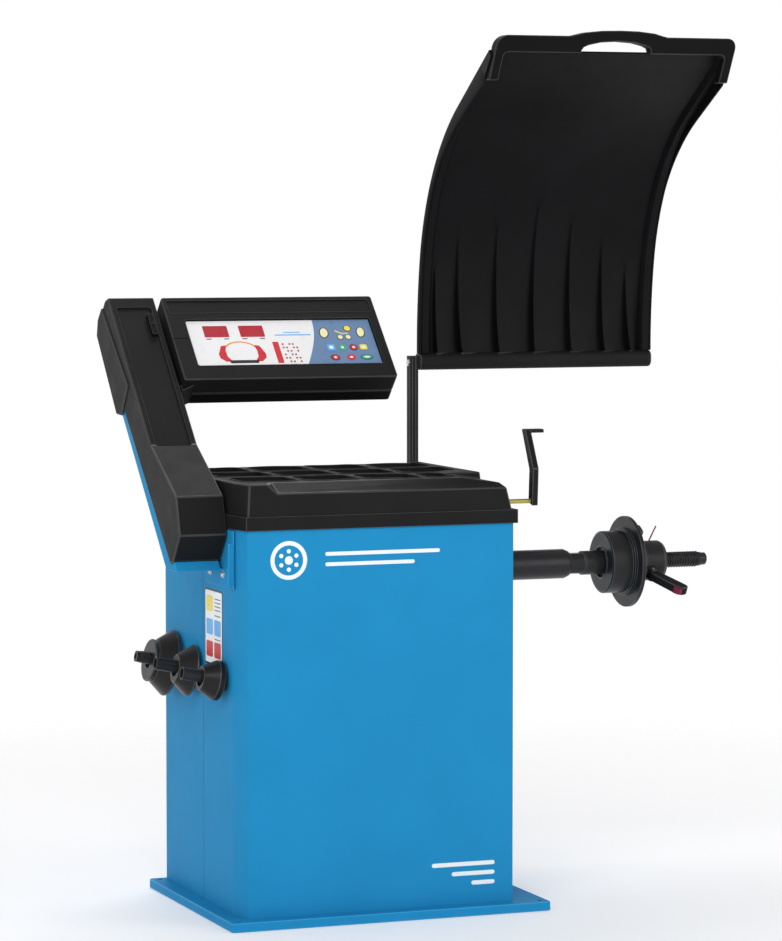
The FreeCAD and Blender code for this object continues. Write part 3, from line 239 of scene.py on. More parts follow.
BLUE_PAINT = surface("blue_powder_coat", (0.0155, 0.245, 0.500), 0.50, (700, 0.05), level=0.04,
    mottle=0.03, spread=0.03)
# Painted edge highlight: a lighter copy of the blue paint, put on bevelled edges.
BLUE_EDGE_HIGHLIGHT = surface("blue_powder_coat_edge_highlight", (0.030, 0.300, 0.580), 0.42, (700, 0.03), level=0.2,
    mottle=0.05, spread=0.03)
BLACK_PLASTIC = surface("black_moulded_plastic", (0.0120, 0.0120, 0.0123), 0.50, (1500, 0.05),
    level=0.075, mottle=0.10, spread=0.04)
# Painted edge highlight: a lighter copy of the black plastic, for bevelled edges and thin rims.
PLASTIC_EDGE_HIGHLIGHT = surface("black_moulded_edge_highlight", (0.032, 0.032, 0.033), 0.34, (1500, 0.02), level=0.30,
    mottle=0.25, spread=0.05)
DARK_PLASTIC = surface("dark_moulded_plastic", (0.0048, 0.0048, 0.0054), 0.52, (1500, 0.05), level=0.07,
    mottle=0.12, spread=0.04)
# Painted edge highlight: a lighter copy of the dark plastic, for bevelled edges.
DARK_EDGE_HIGHLIGHT = surface("dark_moulded_edge_highlight", (0.020, 0.020, 0.021), 0.36, (1500, 0.02), level=0.25,
    mottle=0.25, spread=0.05)
HOOD_SHEET = surface("hood_formed_sheet", (0.0046, 0.0046, 0.0053), 0.44, (420, 0.03), level=0.075,
    mottle=0.20, spread=0.03)
BLACK_STEEL = surface("black_oxide_steel", (0.017, 0.017, 0.0185), 0.34, (900, 0.02), metallic=0.10,
    level=0.24, mottle=0.15, edge_wear_and_highlight=(0.16, 0.16, 0.165), stretch=(14, 1, 1), spread=0.05)
# Painted edge highlight: a lighter copy of the black oxide steel, for bevelled edges.
STEEL_EDGE_HIGHLIGHT = surface("black_oxide_edge_highlight", (0.085, 0.085, 0.090), 0.30, (900, 0.02), metallic=0.3,
    level=0.4, mottle=0.2, stretch=(14, 1, 1), spread=0.05)
BLACK_PAINT = surface("black_powder_coat", (0.0095, 0.0095, 0.0100), 0.45, (800, 0.05), level=0.13,
    edge_wear_and_highlight=(0.05, 0.05, 0.05), spread=0.04)
# Painted edge highlight: a lighter copy of the black paint, for bevelled edges.
PAINT_EDGE_HIGHLIGHT = surface("black_powder_coat_edge_highlight", (0.045, 0.045, 0.046), 0.36, (800, 0.03), level=0.35,
    mottle=0.2, spread=0.05)
CONE_STEEL = surface("phosphated_steel", (0.0125, 0.0120, 0.0120), 0.32, (900, 0.03), metallic=0.08,
    level=0.20, mottle=0.2, edge_wear_and_highlight=(0.12, 0.115, 0.11), stretch=(14, 1, 1), spread=0.05)
# Painted edge highlight: a lighter copy of the phosphated steel, for bevelled edges.
CONE_EDGE_HIGHLIGHT = surface("phosphated_edge_highlight", (0.085, 0.082, 0.080), 0.30, (900, 0.02), metallic=0.3,
    level=0.4, mottle=0.2, spread=0.05)
# Each finish with the lighter copy that settle() puts on its bevels as a painted edge highlight.
EDGE_HIGHLIGHTS = {BLUE_PAINT: BLUE_EDGE_HIGHLIGHT, BLACK_PLASTIC: PLASTIC_EDGE_HIGHLIGHT, DARK_PLASTIC: DARK_EDGE_HIGHLIGHT,
         BLACK_STEEL: STEEL_EDGE_HIGHLIGHT, BLACK_PAINT: PAINT_EDGE_HIGHLIGHT, CONE_STEEL: CONE_EDGE_HIGHLIGHT}
BRASS = surface("drawn_brass", (0.44, 0.37, 0.10), 0.42, (1200, 0.02), metallic=0.75, mottle=0.15,
    stretch=(0.1, 1, 1))
ZINC = surface("zinc_plated_steel", (0.60, 0.61, 0.60), 0.32, (900, 0.02), metallic=1.0, mottle=0.15)
PRIMER = surface("grey_primer", (0.20, 0.21, 0.22), 0.6, (600, 0.05), level=0.35)
CASTING = surface("machined_casting", (0.20, 0.20, 0.21), 0.5, (350, 0.2), metallic=0.6)
MOTOR = surface("cast_aluminium", (0.45, 0.46, 0.47), 0.45, (350, 0.15), metallic=0.8)
BRONZE = surface("sintered_bronze", (0.42, 0.28, 0.12), 0.4, (1800, 0.04), metallic=1.0)
RUBBER = surface("belt_rubber", (0.012, 0.012, 0.012), 0.75, (900, 0.1), level=0.2)
BOARD = surface("solder_mask", (0.012, 0.11, 0.035), 0.35, (2500, 0.01))
RED_PAINT = surface("red_enamel", (0.19, 0.006, 0.028), 0.35, (600, 0.02), level=0.3)
RED_LENS = surface("red_lens", (0.40, 0.009, 0.022), 0.22, (1600, 0.01), level=0.5, coat=0.4,
    mottle=0.1)
WHITE_FILM = surface("white_film", (0.78, 0.78, 0.785), 0.32, (1400, 0.008), level=0.4, mottle=0.02)
SLATE_FILM = surface("slate_blue_film", (0.125, 0.215, 0.37), 0.32, (1400, 0.008), level=0.4,
    mottle=0.04)
BLACK_INK = surface("black_ink", (0.014, 0.014, 0.014), 0.4, (1400, 0.005), level=0.3)


def ink(name, colour):
    return surface(name, colour, 0.34, (1400, 0.008), level=0.4, mottle=0.05)


ORANGE_INK = ink("orange_ink", (0.78, 0.28, 0.03))
YELLOW_INK = ink("yellow_ink", (0.80, 0.66, 0.08))
CREAM_INK = ink("cream_ink", (0.80, 0.74, 0.42))
GREEN_INK = ink("green_ink", (0.05, 0.38, 0.20))
RED_INK = ink("red_ink", (0.56, 0.022, 0.03))
SKY_INK = ink("sky_ink", (0.08, 0.38, 0.78))
WHITE_INK = ink("white_ink", (0.80, 0.84, 0.86))


# ---- mesh helpers ----

def placed(name, bm):
    """An object in the scene from a mesh in millimetres."""
    bmesh.ops.scale(bm, verts=bm.verts, vec=(MM, MM, MM))
    mesh = bpy.data.meshes.new(name)
    bm.to_mesh(mesh)
    bm.free()
    item = bpy.data.objects.new(name, mesh)
    bpy.context.scene.collection.objects.link(item)
    return item


def settle(name, bm, material, replaced=None, bevel=0.0, steps=3, crease=32, body="frame"):
    """Makes a mesh in millimetres a piece that rides on its body and may stand for a node."""
    bmesh.ops.recalc_face_normals(bm, faces=bm.faces)
    for face in bm.faces:
        face.smooth = True
    limit = radians(crease)
    if not bevel:
        for edge in bm.edges:
            edge.smooth = len(edge.link_faces) == 2 and edge.calc_face_angle(0) < limit
    piece = placed(name, bm)
    piece.data.materials.append(material)
    # The bevels get the lighter copy of the material as a second finish: a painted edge highlight.
    if bevel and material in EDGE_HIGHLIGHTS:
        piece.data.materials.append(EDGE_HIGHLIGHTS[material])
    if bevel:
        soften = piece.modifiers.new("edges", "BEVEL")
        soften.width = bevel * MM
        soften.segments = steps
        soften.limit_method = "ANGLE"
        soften.angle_limit = limit
        soften.use_clamp_overlap = True
        soften.harden_normals = True
        # bevel faces take the second finish, the painted edge highlight
        if material in EDGE_HIGHLIGHTS:
            soften.material = 1
    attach(piece, body)
    if replaced:
        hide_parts(replaced)
    return piece


def along_x(x, across, up):
    return (x, across, up)


def facing(x, across, up):
    """An outline in X and Z, with its depth along Y."""
    return (across, x, up)


def flat_on(x, across, up):
    """An outline in X and Y, with its depth along Z."""
    return (across, up, x)


KNEE = (26, 1011)
LEAN = sqrt(0.5)


def leaning(depth, x, rise):
    """The post's own frame: depth behind its front plane and rise along it."""
    return (x, KNEE[0] + LEAN * (depth + rise), KNEE[1] + LEAN * (rise - depth))


def leaning_side(x, depth, rise):
    """As leaning(), for an outline in depth and rise that is drawn out along X."""
    return leaning(depth, x, rise)


def prism(bm, outline, start, end, turn, holes=()):
    """A closed prism of an outline, with optional holes, from start to end."""
    layers = []
    for level in (start, end):
        edges = []
        for loop in (outline, *holes):
            spots = [bm.verts.new(turn(level, *corner)) for corner in loop]
            edges.append((spots, [bm.edges.new((spots[i - 1], spots[i])) for i in range(len(spots))]))
        layers.append(edges)
        if holes:
            bmesh.ops.triangle_fill(bm, edges=[e for _, group in edges for e in group], use_beauty=True)
        else:
            bm.faces.new(edges[0][0])
    for (near, _), (far, _) in zip(*layers):
        for i in range(len(near)):
            bm.faces.new((near[i - 1], near[i], far[i], far[i - 1]))


def arc(across, up, radius, start, sweep, steps):
    """Points on an arc, from the angle start over sweep, in degrees."""
    angles = [radians(start + sweep * step / steps) for step in range(steps + 1)]
    return [(across + radius * cos(a), up + radius * sin(a)) for a in angles]


def rounded(left, bottom, right, top, radius, steps=5):
    """Corners of a rectangle with round corners."""
    x, far_x, y, far_y = left + radius, right - radius, bottom + radius, top - radius
    centres = ((far_x, far_y), (x, far_y), (x, y), (far_x, y))
    return [spot for quarter, centre in enumerate(centres) for spot in arc(*centre, radius,
        90 * quarter, 90, steps)]


def oval(across, up, wide, tall, lean=0.0, count=32):
    """Points round an ellipse that leans by an angle in degrees."""
    spots = []
    turn = radians(lean)
    for step in range(count):
        angle = 2 * pi * step / count
        x, y = wide * cos(angle), tall * sin(angle)
        spots.append((across + x * cos(turn) - y * sin(turn), up + x * sin(turn) + y * cos(turn)))
    return spots


def circle(across, up, radius, count=40):
    return oval(across, up, radius, radius, count=count)


def spun(bm, profile, spot, count=96):
    """A solid turned about an axis along X at spot (Y, Z) from (x, radius) points."""
    rows = []
    for x, radius in profile:
        if radius < 1e-6:
            rows.append([bm.verts.new((x, *spot))])
            continue
        rows.append([bm.verts.new((x, *place)) for place in circle(*spot, radius, count)])
    for near, far in zip(rows, rows[1:]):
        for i in range(count):
            ring = [near[i - 1], near[i]] if len(near) > 1 else [near[0]]
            ring += [far[i], far[i - 1]] if len(far) > 1 else [far[0]]
            if len(ring) > 2:
                bm.faces.new(ring)
    return rows


def closed_spin(bm, profile, spot, count=96):
    """A turned ring: the last point joins the first."""
    rows = spun(bm, profile, spot, count)
    near, far = rows[-1], rows[0]
    for i in range(count):
        bm.faces.new((near[i - 1], near[i], far[i], far[i - 1]))


def refined(node, material, bevel, steps=2, body="frame"):
    """A CAD part with its edges rounded: same shape, finished for looks."""
    bm = bmesh.new()
    bm.from_mesh(NODES[node].data)
    bmesh.ops.scale(bm, verts=bm.verts, vec=(1 / MM,) * 3)
    bmesh.ops.remove_doubles(bm, verts=bm.verts, dist=0.01)
    bmesh.ops.dissolve_limit(bm, angle_limit=radians(1), verts=bm.verts, edges=bm.edges)
    settle(f"{node}_finished", bm, material, node, bevel, steps, 28, body)


def paint(node, material):
    """Gives a CAD part that keeps its own mesh a better material."""
    mesh = NODES[node].data
    mesh.materials.clear()
    mesh.materials.append(material)


def baked(piece):
    """Replaces a piece's mesh by what its modifiers make of it."""
    graph = bpy.context.evaluated_depsgraph_get()
    graph.update()
    mesh = bpy.data.meshes.new_from_object(piece.evaluated_get(graph))
    piece.modifiers.clear()
    piece.data = mesh


def cut(piece, *tools):
    """Cuts closed meshes, given in millimetres, out of a piece after its edges are rounded."""
    baked(piece)
    for bm in tools:
        bmesh.ops.recalc_face_normals(bm, faces=bm.faces)
        tool = placed("tool", bm)
        mesh = tool.data
        step = piece.modifiers.new("cut", "BOOLEAN")
        step.operation = "DIFFERENCE"
        step.solver = "EXACT"
        step.object = tool
        baked(piece)
        bpy.data.objects.remove(tool)
        bpy.data.meshes.remove(mesh)


def solid(outline, start, end, turn, holes=()):
    bm = bmesh.new()
    prism(bm, outline, start, end, turn, holes)
    return bm


def rectangle(left, bottom, right, top):
    return [(left, bottom), (right, bottom), (right, top), (left, top)]


def around(box, margin, radius, steps):
    """A rectangle with round corners, larger than a box of named edges by a margin."""
    return rounded(box.left - margin, box.low - margin, box.right + margin, box.high + margin, radius,
        steps)


# ---- base and cabinet ----

def bent_sheet(corners, radius, thick):
    """Outline of a bent sheet that follows corners on its outer side, bend radius outside."""
    outer, inner = [], []
    for index, (x, y) in enumerate(corners):
        here = Vector((x, y))
        before = (here - Vector(corners[index - 1])).normalized() if index else None
        after = None
        if index + 1 < len(corners):
            after = (Vector(corners[index + 1]) - here).normalized()
        if before is None or after is None:
            way = after or before
            outer.append(here)
            inner.append(here + Vector((-way.y, way.x)) * thick)
            continue
        turn = acos(max(-1.0, min(1.0, before.dot(after))))
        reach = radius * tan(turn / 2)
        start = here - before * reach
        centre = start + Vector((-before.y, before.x)) * radius
        steps = max(2, int(degrees(turn) / 12))
        for step in range(steps + 1):
            swing = Matrix.Rotation(turn * step / steps, 2)
            arm = swing @ (start - centre)
            outer.append(centre + arm)
            inner.append(centre + arm * (radius - thick) / radius)
    return [tuple(p) for p in outer] + [tuple(p) for p in reversed(inner)]


def cabinet():
    left, right = low("cabinet_front_shell").x, high("cabinet_front_shell").x
    front, back = low("cabinet_front_shell").y, high("cabinet_rear_shell").y
    bottom, top = low("cabinet_front_shell").z, high("cabinet_front_shell").z
    seam_left, seam_right, gap = 3, high("cabinet_front_shell").y, 2
    bend_left, bend_front, thick, radius = -317, -195, 2, 4.5
    shape = bent_sheet([(left, seam_left), (left, bend_front), (bend_left, front), (right, front),
        (right, seam_right)], radius, thick)
    shell = settle("cabinet_front_panel", solid(shape, bottom, top, flat_on), BLUE_PAINT,
        "cabinet_front_shell", crease=40)
    cut(shell, solid(circle(*SHAFT_AXIS, 48, 64), right - 20, right + 20, along_x))

    shape = bent_sheet([(right, seam_right + gap), (right, back), (left, back),
        (left, seam_left + gap)], radius, thick)
    rear = settle("cabinet_rear_panel", solid(shape, bottom, top, flat_on), BLUE_PAINT,
        "cabinet_rear_shell", crease=40)
    holes = []
    for node in ("mains_inlet", "switch_frame"):
        lower, upper, lip = low(node), high(node), 2.5
        hole = rectangle(lower.x + lip, lower.z + lip, upper.x - lip, upper.z - lip)
        holes.append(solid(hole, back - 10, back + 10, facing))
    cut(rear, *holes)
    refined("hood_bracket", BLUE_PAINT, 1.8, 3)
    refined("post_bracket", BLUE_PAINT, 1.0)
    refined("post_column", BLUE_PAINT, 1.2)


def base_pan():
    """The base plate with its corners closed and rounded, and the four anchor holes."""
    lower, upper = low("base_plate"), high("base_plate")
    sheet, corner, inset, boss, bore = 4, 8, 20, 14, 6
    spots = [(x, y) for x in (lower.x + inset, upper.x - inset) for y in (lower.y + inset,
        upper.y - inset)]
    outer = rounded(lower.x, lower.y, upper.x, upper.y, corner, 6)
    inner = rounded(lower.x + sheet, lower.y + sheet, upper.x - sheet, upper.y - sheet, corner - sheet,
        6)
    pan = settle("base_pan", solid(outer, lower.z, upper.z, flat_on), BLUE_PAINT, "base_plate", 2.2, 4,
        crease=40)
    under = solid(inner, lower.z - 5, upper.z - sheet, flat_on, [circle(*spot, boss, 32)
        for spot in spots])
    cut(pan, under, *[solid(circle(*spot, bore, 32), lower.z - 5, upper.z + 5, flat_on)
        for spot in spots])


def wheel_mark():
    """A plain white wheel pictogram with two stripes, and three short stripes near the floor."""
    face = low("cabinet_front_shell").y
    thick, centre, radius = 0.4, (-225, 779), 41
    ring = solid(circle(*centre, radius, 72), face - thick, face, facing,
        [circle(*centre, radius - 9, 72)])
    settle("front_mark_ring", ring, WHITE_INK)
    bm = bmesh.new()
    prism(bm, circle(*centre, 9, 40), face - thick, face, facing)
    for spot in arc(*centre, 19.5, 30, 300, 5):
        prism(bm, circle(*spot, 4.6, 24), face - thick, face, facing)
    settle("front_mark_hub", bm, WHITE_INK)
    bm = bmesh.new()
    for rise, start, end in ((790, -143, 118), (768, -143, 60)):
        prism(bm, rounded(start, rise - 4, end, rise + 4, 3.9, 4), face - thick, face, facing)
    for step in range(3):
        rise = 108 - 21 * step
        prism(bm, rounded(100 + 46 * step, rise - 4.5, 246, rise + 4.5, 4.4, 4), face - thick, face,
            facing)
    settle("front_mark_stripes", bm, WHITE_INK)


def side_label():
    """A plain label of coloured blocks on the left side, with no words or signs."""
    wall = low("cabinet_front_shell").x

    def plate(name, outline, material, thick):
        settle(name, solid(outline, wall - thick, wall, along_x), material)

    front, back, bottom, top = -129, -10, 540, 704
    plate("side_label_border", rounded(front, bottom, back, top, 6, 4), BLACK_INK, 0.3)
    plate("side_label_sheet", rounded(front + 4, bottom + 4, back - 4, top - 4, 4, 4), WHITE_INK, 0.5)
    rows = ((672, YELLOW_INK, "yellow"), (622, SKY_INK, "blue"), (574, RED_INK, "red"))
    for level, material, word in rows:
        bm = bmesh.new()
        for start in (-118, -65) if word != "yellow" else (-65,):
            prism(bm, rounded(start, level - 17, start + 44, level + 17, 5, 4), wall - 0.7, wall,
                along_x)
        settle(f"side_label_{word}", bm, material)
    bm = bmesh.new()
    for level in (684, 676, 668, 660, 648, 597):
        prism(bm, rounded(-116, level - 1, -76, level + 1, 0.9, 2), wall - 0.6, wall, along_x)
    settle("side_label_lines", bm, BLACK_INK)


# ---- weight tray ----

TRAY_CELLS = SimpleNamespace(left=-300, right=254, front=-192, back=256, wall=10, columns=4, rows=3)
TRAY_TOP = 941


def wavy_cell(column, row):
    """Outline of one cell: round corners, with front and back edges that wave."""
    plan = TRAY_CELLS
    wide = (plan.right - plan.left - (plan.columns - 1) * plan.wall) / plan.columns
    deep = (plan.back - plan.front - (plan.rows - 1) * plan.wall) / plan.rows
    left = plan.left + column * (wide + plan.wall)
    front = plan.front + row * (deep + plan.wall)
    if column == 3 and row == 0:  # the cell beside the low corner is smaller
        wide, front, deep = 68, front + 4, deep - 22
    middle_x, middle_y = left + wide / 2, front + deep / 2
    spots = []
    count, power, sway = 56, 5.0, 9.0
    for step in range(count):
        angle = 2 * pi * (step + 0.5) / count
        shrink = (abs(cos(angle)) ** power + abs(sin(angle)) ** power) ** (-1 / power)
        x = cos(angle) * shrink
        y = sin(angle) * shrink
        bend = sway * sin(pi * (x + 0.25 * row) * (1 if column % 2 else -1))
        spots.append((middle_x + x * (wide / 2 - 2), middle_y + y * (deep / 2 - 7) + bend * 0.6))
    return spots


def tray():
    skirt, wall = 4, 3
    lowest, highest = low("weight_tray"), high("weight_tray")
    left, right, front, back = lowest.x, highest.x, lowest.y, highest.y
    seat, ledge = lowest.z, 873

    def plan(edge_left, edge_front, edge_right, edge_back, chamfer=13, bend=-195):
        return [(edge_left, edge_back), (edge_left, bend), (edge_left + chamfer, edge_front),
            (edge_right, edge_front), (edge_right, edge_back)]

    bm = bmesh.new()
    prism(bm, plan(left, front, right, back), seat, ledge, flat_on,
        [plan(left + wall, front + wall, right - wall, back - wall)])
    settle("tray_skirt", bm, BLACK_PLASTIC, bevel=1.4)

    # the body: drafted walls, a front lip that slopes up to the deck, a low corner at the front
    # right that falls away from the deck, and a flat block at the front left
    lower = plan(left + skirt, front + 2, right - 12, back - 4)
    upper = plan(left + 9, front + 6, right - 22, back - 9)
    lip_back, lip_left, lip_rise = -206, -250, 921
    slope_left, slope_back, low_rise, high_rise = 188, -103, 928, 944
    spots = {
        "back_left": (*upper[0], TRAY_TOP), "bend": (*upper[1], TRAY_TOP),
        "block": (*upper[2], TRAY_TOP), "block_end": (lip_left - 22, upper[2][1], TRAY_TOP),
        "lip": (lip_left, upper[2][1] - 3, lip_rise),
        "lip_end": (upper[3][0] - 4, upper[3][1] - 3, lip_rise),
        "lip_top": (lip_left + 2, lip_back, TRAY_TOP),
        "slope_front": (slope_left, lip_back, TRAY_TOP),
        "slope_back": (slope_left, slope_back, TRAY_TOP),
        "corner": (upper[3][0], lip_back - 4, low_rise),
        "low_back": (upper[3][0], slope_back, low_rise),
        "high_front": (upper[3][0] - 1, slope_back + 3, high_rise),
        "high_left": (slope_left + 26, slope_back + 3, high_rise),
        "high_back": (upper[4][0] - 1, upper[4][1], high_rise),
        "high_left_back": (slope_left + 66, upper[4][1], high_rise),
        "deck_back": (slope_left + 58, upper[4][1], TRAY_TOP),
    }
    bm = bmesh.new()
    made = {name: bm.verts.new(spot) for name, spot in spots.items()}
    made.update({number: bm.verts.new((x, y, ledge - 6)) for number, (x, y) in enumerate(lower)})
    for names in (("bend", "block", "block_end", "lip_top", "slope_front", "slope_back",
                   "deck_back", "back_left"),
                  ("block_end", "lip", "lip_top"),
                  ("lip", "lip_end", "corner", "slope_front", "lip_top"),
                  ("slope_front", "corner", "low_back", "slope_back"),
                  ("slope_back", "low_back", "high_front", "high_left"),
                  ("slope_back", "high_left", "high_left_back", "deck_back"),
                  ("high_left", "high_front", "high_back", "high_left_back"),
                  (0, 1, "bend", "back_left"),
                  (1, 2, "block", "bend"),
                  (2, 3, "lip_end", "lip", "block_end", "block"),
                  (3, 4, "high_back", "high_front", "low_back", "corner", "lip_end"),
                  (4, 0, "back_left", "deck_back", "high_left_back", "high_back"),
                  (4, 3, 2, 1, 0)):
        bm.faces.new([made[name] for name in names])
    body = settle("tray_body", bm, BLACK_PLASTIC, "weight_tray", 3.2, 4, crease=14)
    cells = [wavy_cell(column, row) for column in range(TRAY_CELLS.columns)
        for row in range(TRAY_CELLS.rows)]
    wells = [solid(cell, 909, TRAY_TOP + 15, flat_on) for cell in cells]
    under = plan(left + 10, front + 8, right - 34, back - 10)
    cut(body, *wells, solid(under, ledge - 20, 903, flat_on))

    # raised bead round each cell
    bead = bmesh.new()
    for cell in cells:
        middle = Vector((sum(x for x, _ in cell), sum(y for _, y in cell))) / len(cell)
        outer = [tuple(middle + (Vector(spot) - middle) * 1.045) for spot in cell]
        prism(bead, outer, TRAY_TOP - 0.5, TRAY_TOP + 1.8, flat_on, [cell])
    settle("tray_beads", bead, BLACK_PLASTIC, bevel=0.8, steps=2, crease=40)
    rod = middle_of("gauge_rod")
    bm = bmesh.new()
    closed_spin(bm, [(right - 34, 6.2), (right - 34, 10), (right - 14, 10), (right - 10, 8.5),
        (right - 10, 6.2)], (rod.y, rod.z), 40)
    settle("rod_grommet", bm, DARK_PLASTIC, bevel=0.6, steps=2)


# ---- display post and head ----

def display_post():
    left, right = low("post_front_cover").x, high("post_front_cover").x
    outline = [(0, 0), (0, 438), (22, 450), (90, 450), (90, 203), (76, -272), (58, -279), (-16, -271),
        (-56, -196)]
    cover = settle("post_front_casing", solid(outline, left, right, leaning_side), BLACK_PLASTIC,
        "post_front_cover", 3.0, 4, crease=6)
    recess = rounded(-428, -5, -348, 408, 7, 5)
    hollow = [(62, -263), (62, 446), (95, 446), (95, -290), (64, -290)]
    cut(cover, solid(recess, -10, 3.0, leaning), solid(hollow, left + 4, right - 4, leaning_side))
    outline = [(22, 195), (46, 451), (85, 452), (117, 432), (131, 208), (106, 181)]
    rear = settle("post_rear_casing", solid(outline, -444.5, -331.7, leaning_side), BLACK_PLASTIC,
        "post_rear_cover", 3.0, 4, crease=6)
    inside = [(0, 150), (20, 449.5), (91, 449.5), (112, 424), (126, 200), (110, 150)]
    notch = [(10, 170), (10, 470), (76, 470), (76, 170)]
    cut(rear, solid(inside, -441.2, -334.8, leaning_side), solid(notch, -334.9, -320, leaning_side))
    # A thin raised frame round the recess in the light edge finish: a painted highlight line along the
    # recess edge.
    rim = bmesh.new()
    prism(rim, rounded(-429.2, -6.2, -346.8, 409.2, 8, 5), -0.7, 0.3, leaning, [recess])
    settle("post_recess_highlight_rim", rim, PLASTIC_EDGE_HIGHLIGHT, bevel=0.3, steps=2)
    neck = [(-331.8, 157), (-296, 176), (-331.8, 176)]
    settle("head_neck", solid(neck, 2, 62, leaning), DARK_PLASTIC, bevel=2.0)
    latch = solid(rounded(-364, 321, -350, 384, 3, 4), -7, 3, leaning)
    settle("post_latch", latch, DARK_PLASTIC, "display_clip", 1.2)
    rib = solid(rounded(-361, 350, -353, 356, 1, 3), -8.2, -6.5, leaning)
    settle("post_latch_rib", rib, BLACK_PLASTIC, bevel=0.4, steps=2)


HEAD = SimpleNamespace(left=-326, right=175, low=174, high=423, front=-16, split=30, back=64)
WINDOW = SimpleNamespace(left=-283, right=150, low=217, high=352)
FILM = HEAD.front + 3.8


def display_head():
    face = around(HEAD, 0, 7, 5)
    housing = settle("display_front_casing", solid(face, HEAD.front, HEAD.split - 0.8, leaning),
        BLACK_PLASTIC, "display_housing", 3.0, 4, crease=40)
    window = around(WINDOW, 2, 5, 4)
    strip = rounded(-316, 374, 163, 411, 5, 4)
    groove = rounded(-330, 296.5, WINDOW.left - 8, 298.5, 0.6, 2)
    pocket = around(HEAD, -3, 5, 4)
    cut(housing, solid(window, -25, -11, leaning), solid(strip, -25, HEAD.front + 1.6, leaning),
        solid(groove, -25, HEAD.front + 1.2, leaning), solid(pocket, -6, HEAD.split + 5, leaning))
    # Thin raised frames round the top strip and the window, in the light edge finish: painted highlight
    # lines along their edges.
    rim = bmesh.new()
    for inside, edge in ((strip, rounded(-317.1, 372.9, 164.1, 412.1, 6, 5)),
                         (window, around(WINDOW, 3.2, 6, 4))):
        prism(rim, edge, HEAD.front - 0.6, HEAD.front + 0.3, leaning, [inside])
    settle("display_face_highlight_rims", rim, PLASTIC_EDGE_HIGHLIGHT, bevel=0.25, steps=2)
    back = settle("display_rear_casing", solid(face, HEAD.split + 0.2, HEAD.back, leaning),
        DARK_PLASTIC, "display_back_cover", 4.0, 4, crease=40)
    slots = [solid(rounded(x - 40, 240 + 14 * row, x + 40, 245 + 14 * row, 2.4, 4), HEAD.back - 6,
        HEAD.back + 5, leaning) for x in (-20, 90) for row in range(6)]
    cut(back, solid(pocket, HEAD.split - 5, HEAD.back - 3, leaning), *slots)


def badge(name, outlines, material, proud):
    """Printed or domed shapes on the keypad's film; proud is their height above the film."""
    bm = bmesh.new()
    for outline in outlines:
        prism(bm, outline, FILM - proud, FILM + 0.4, leaning)
    settle(name, bm, material)


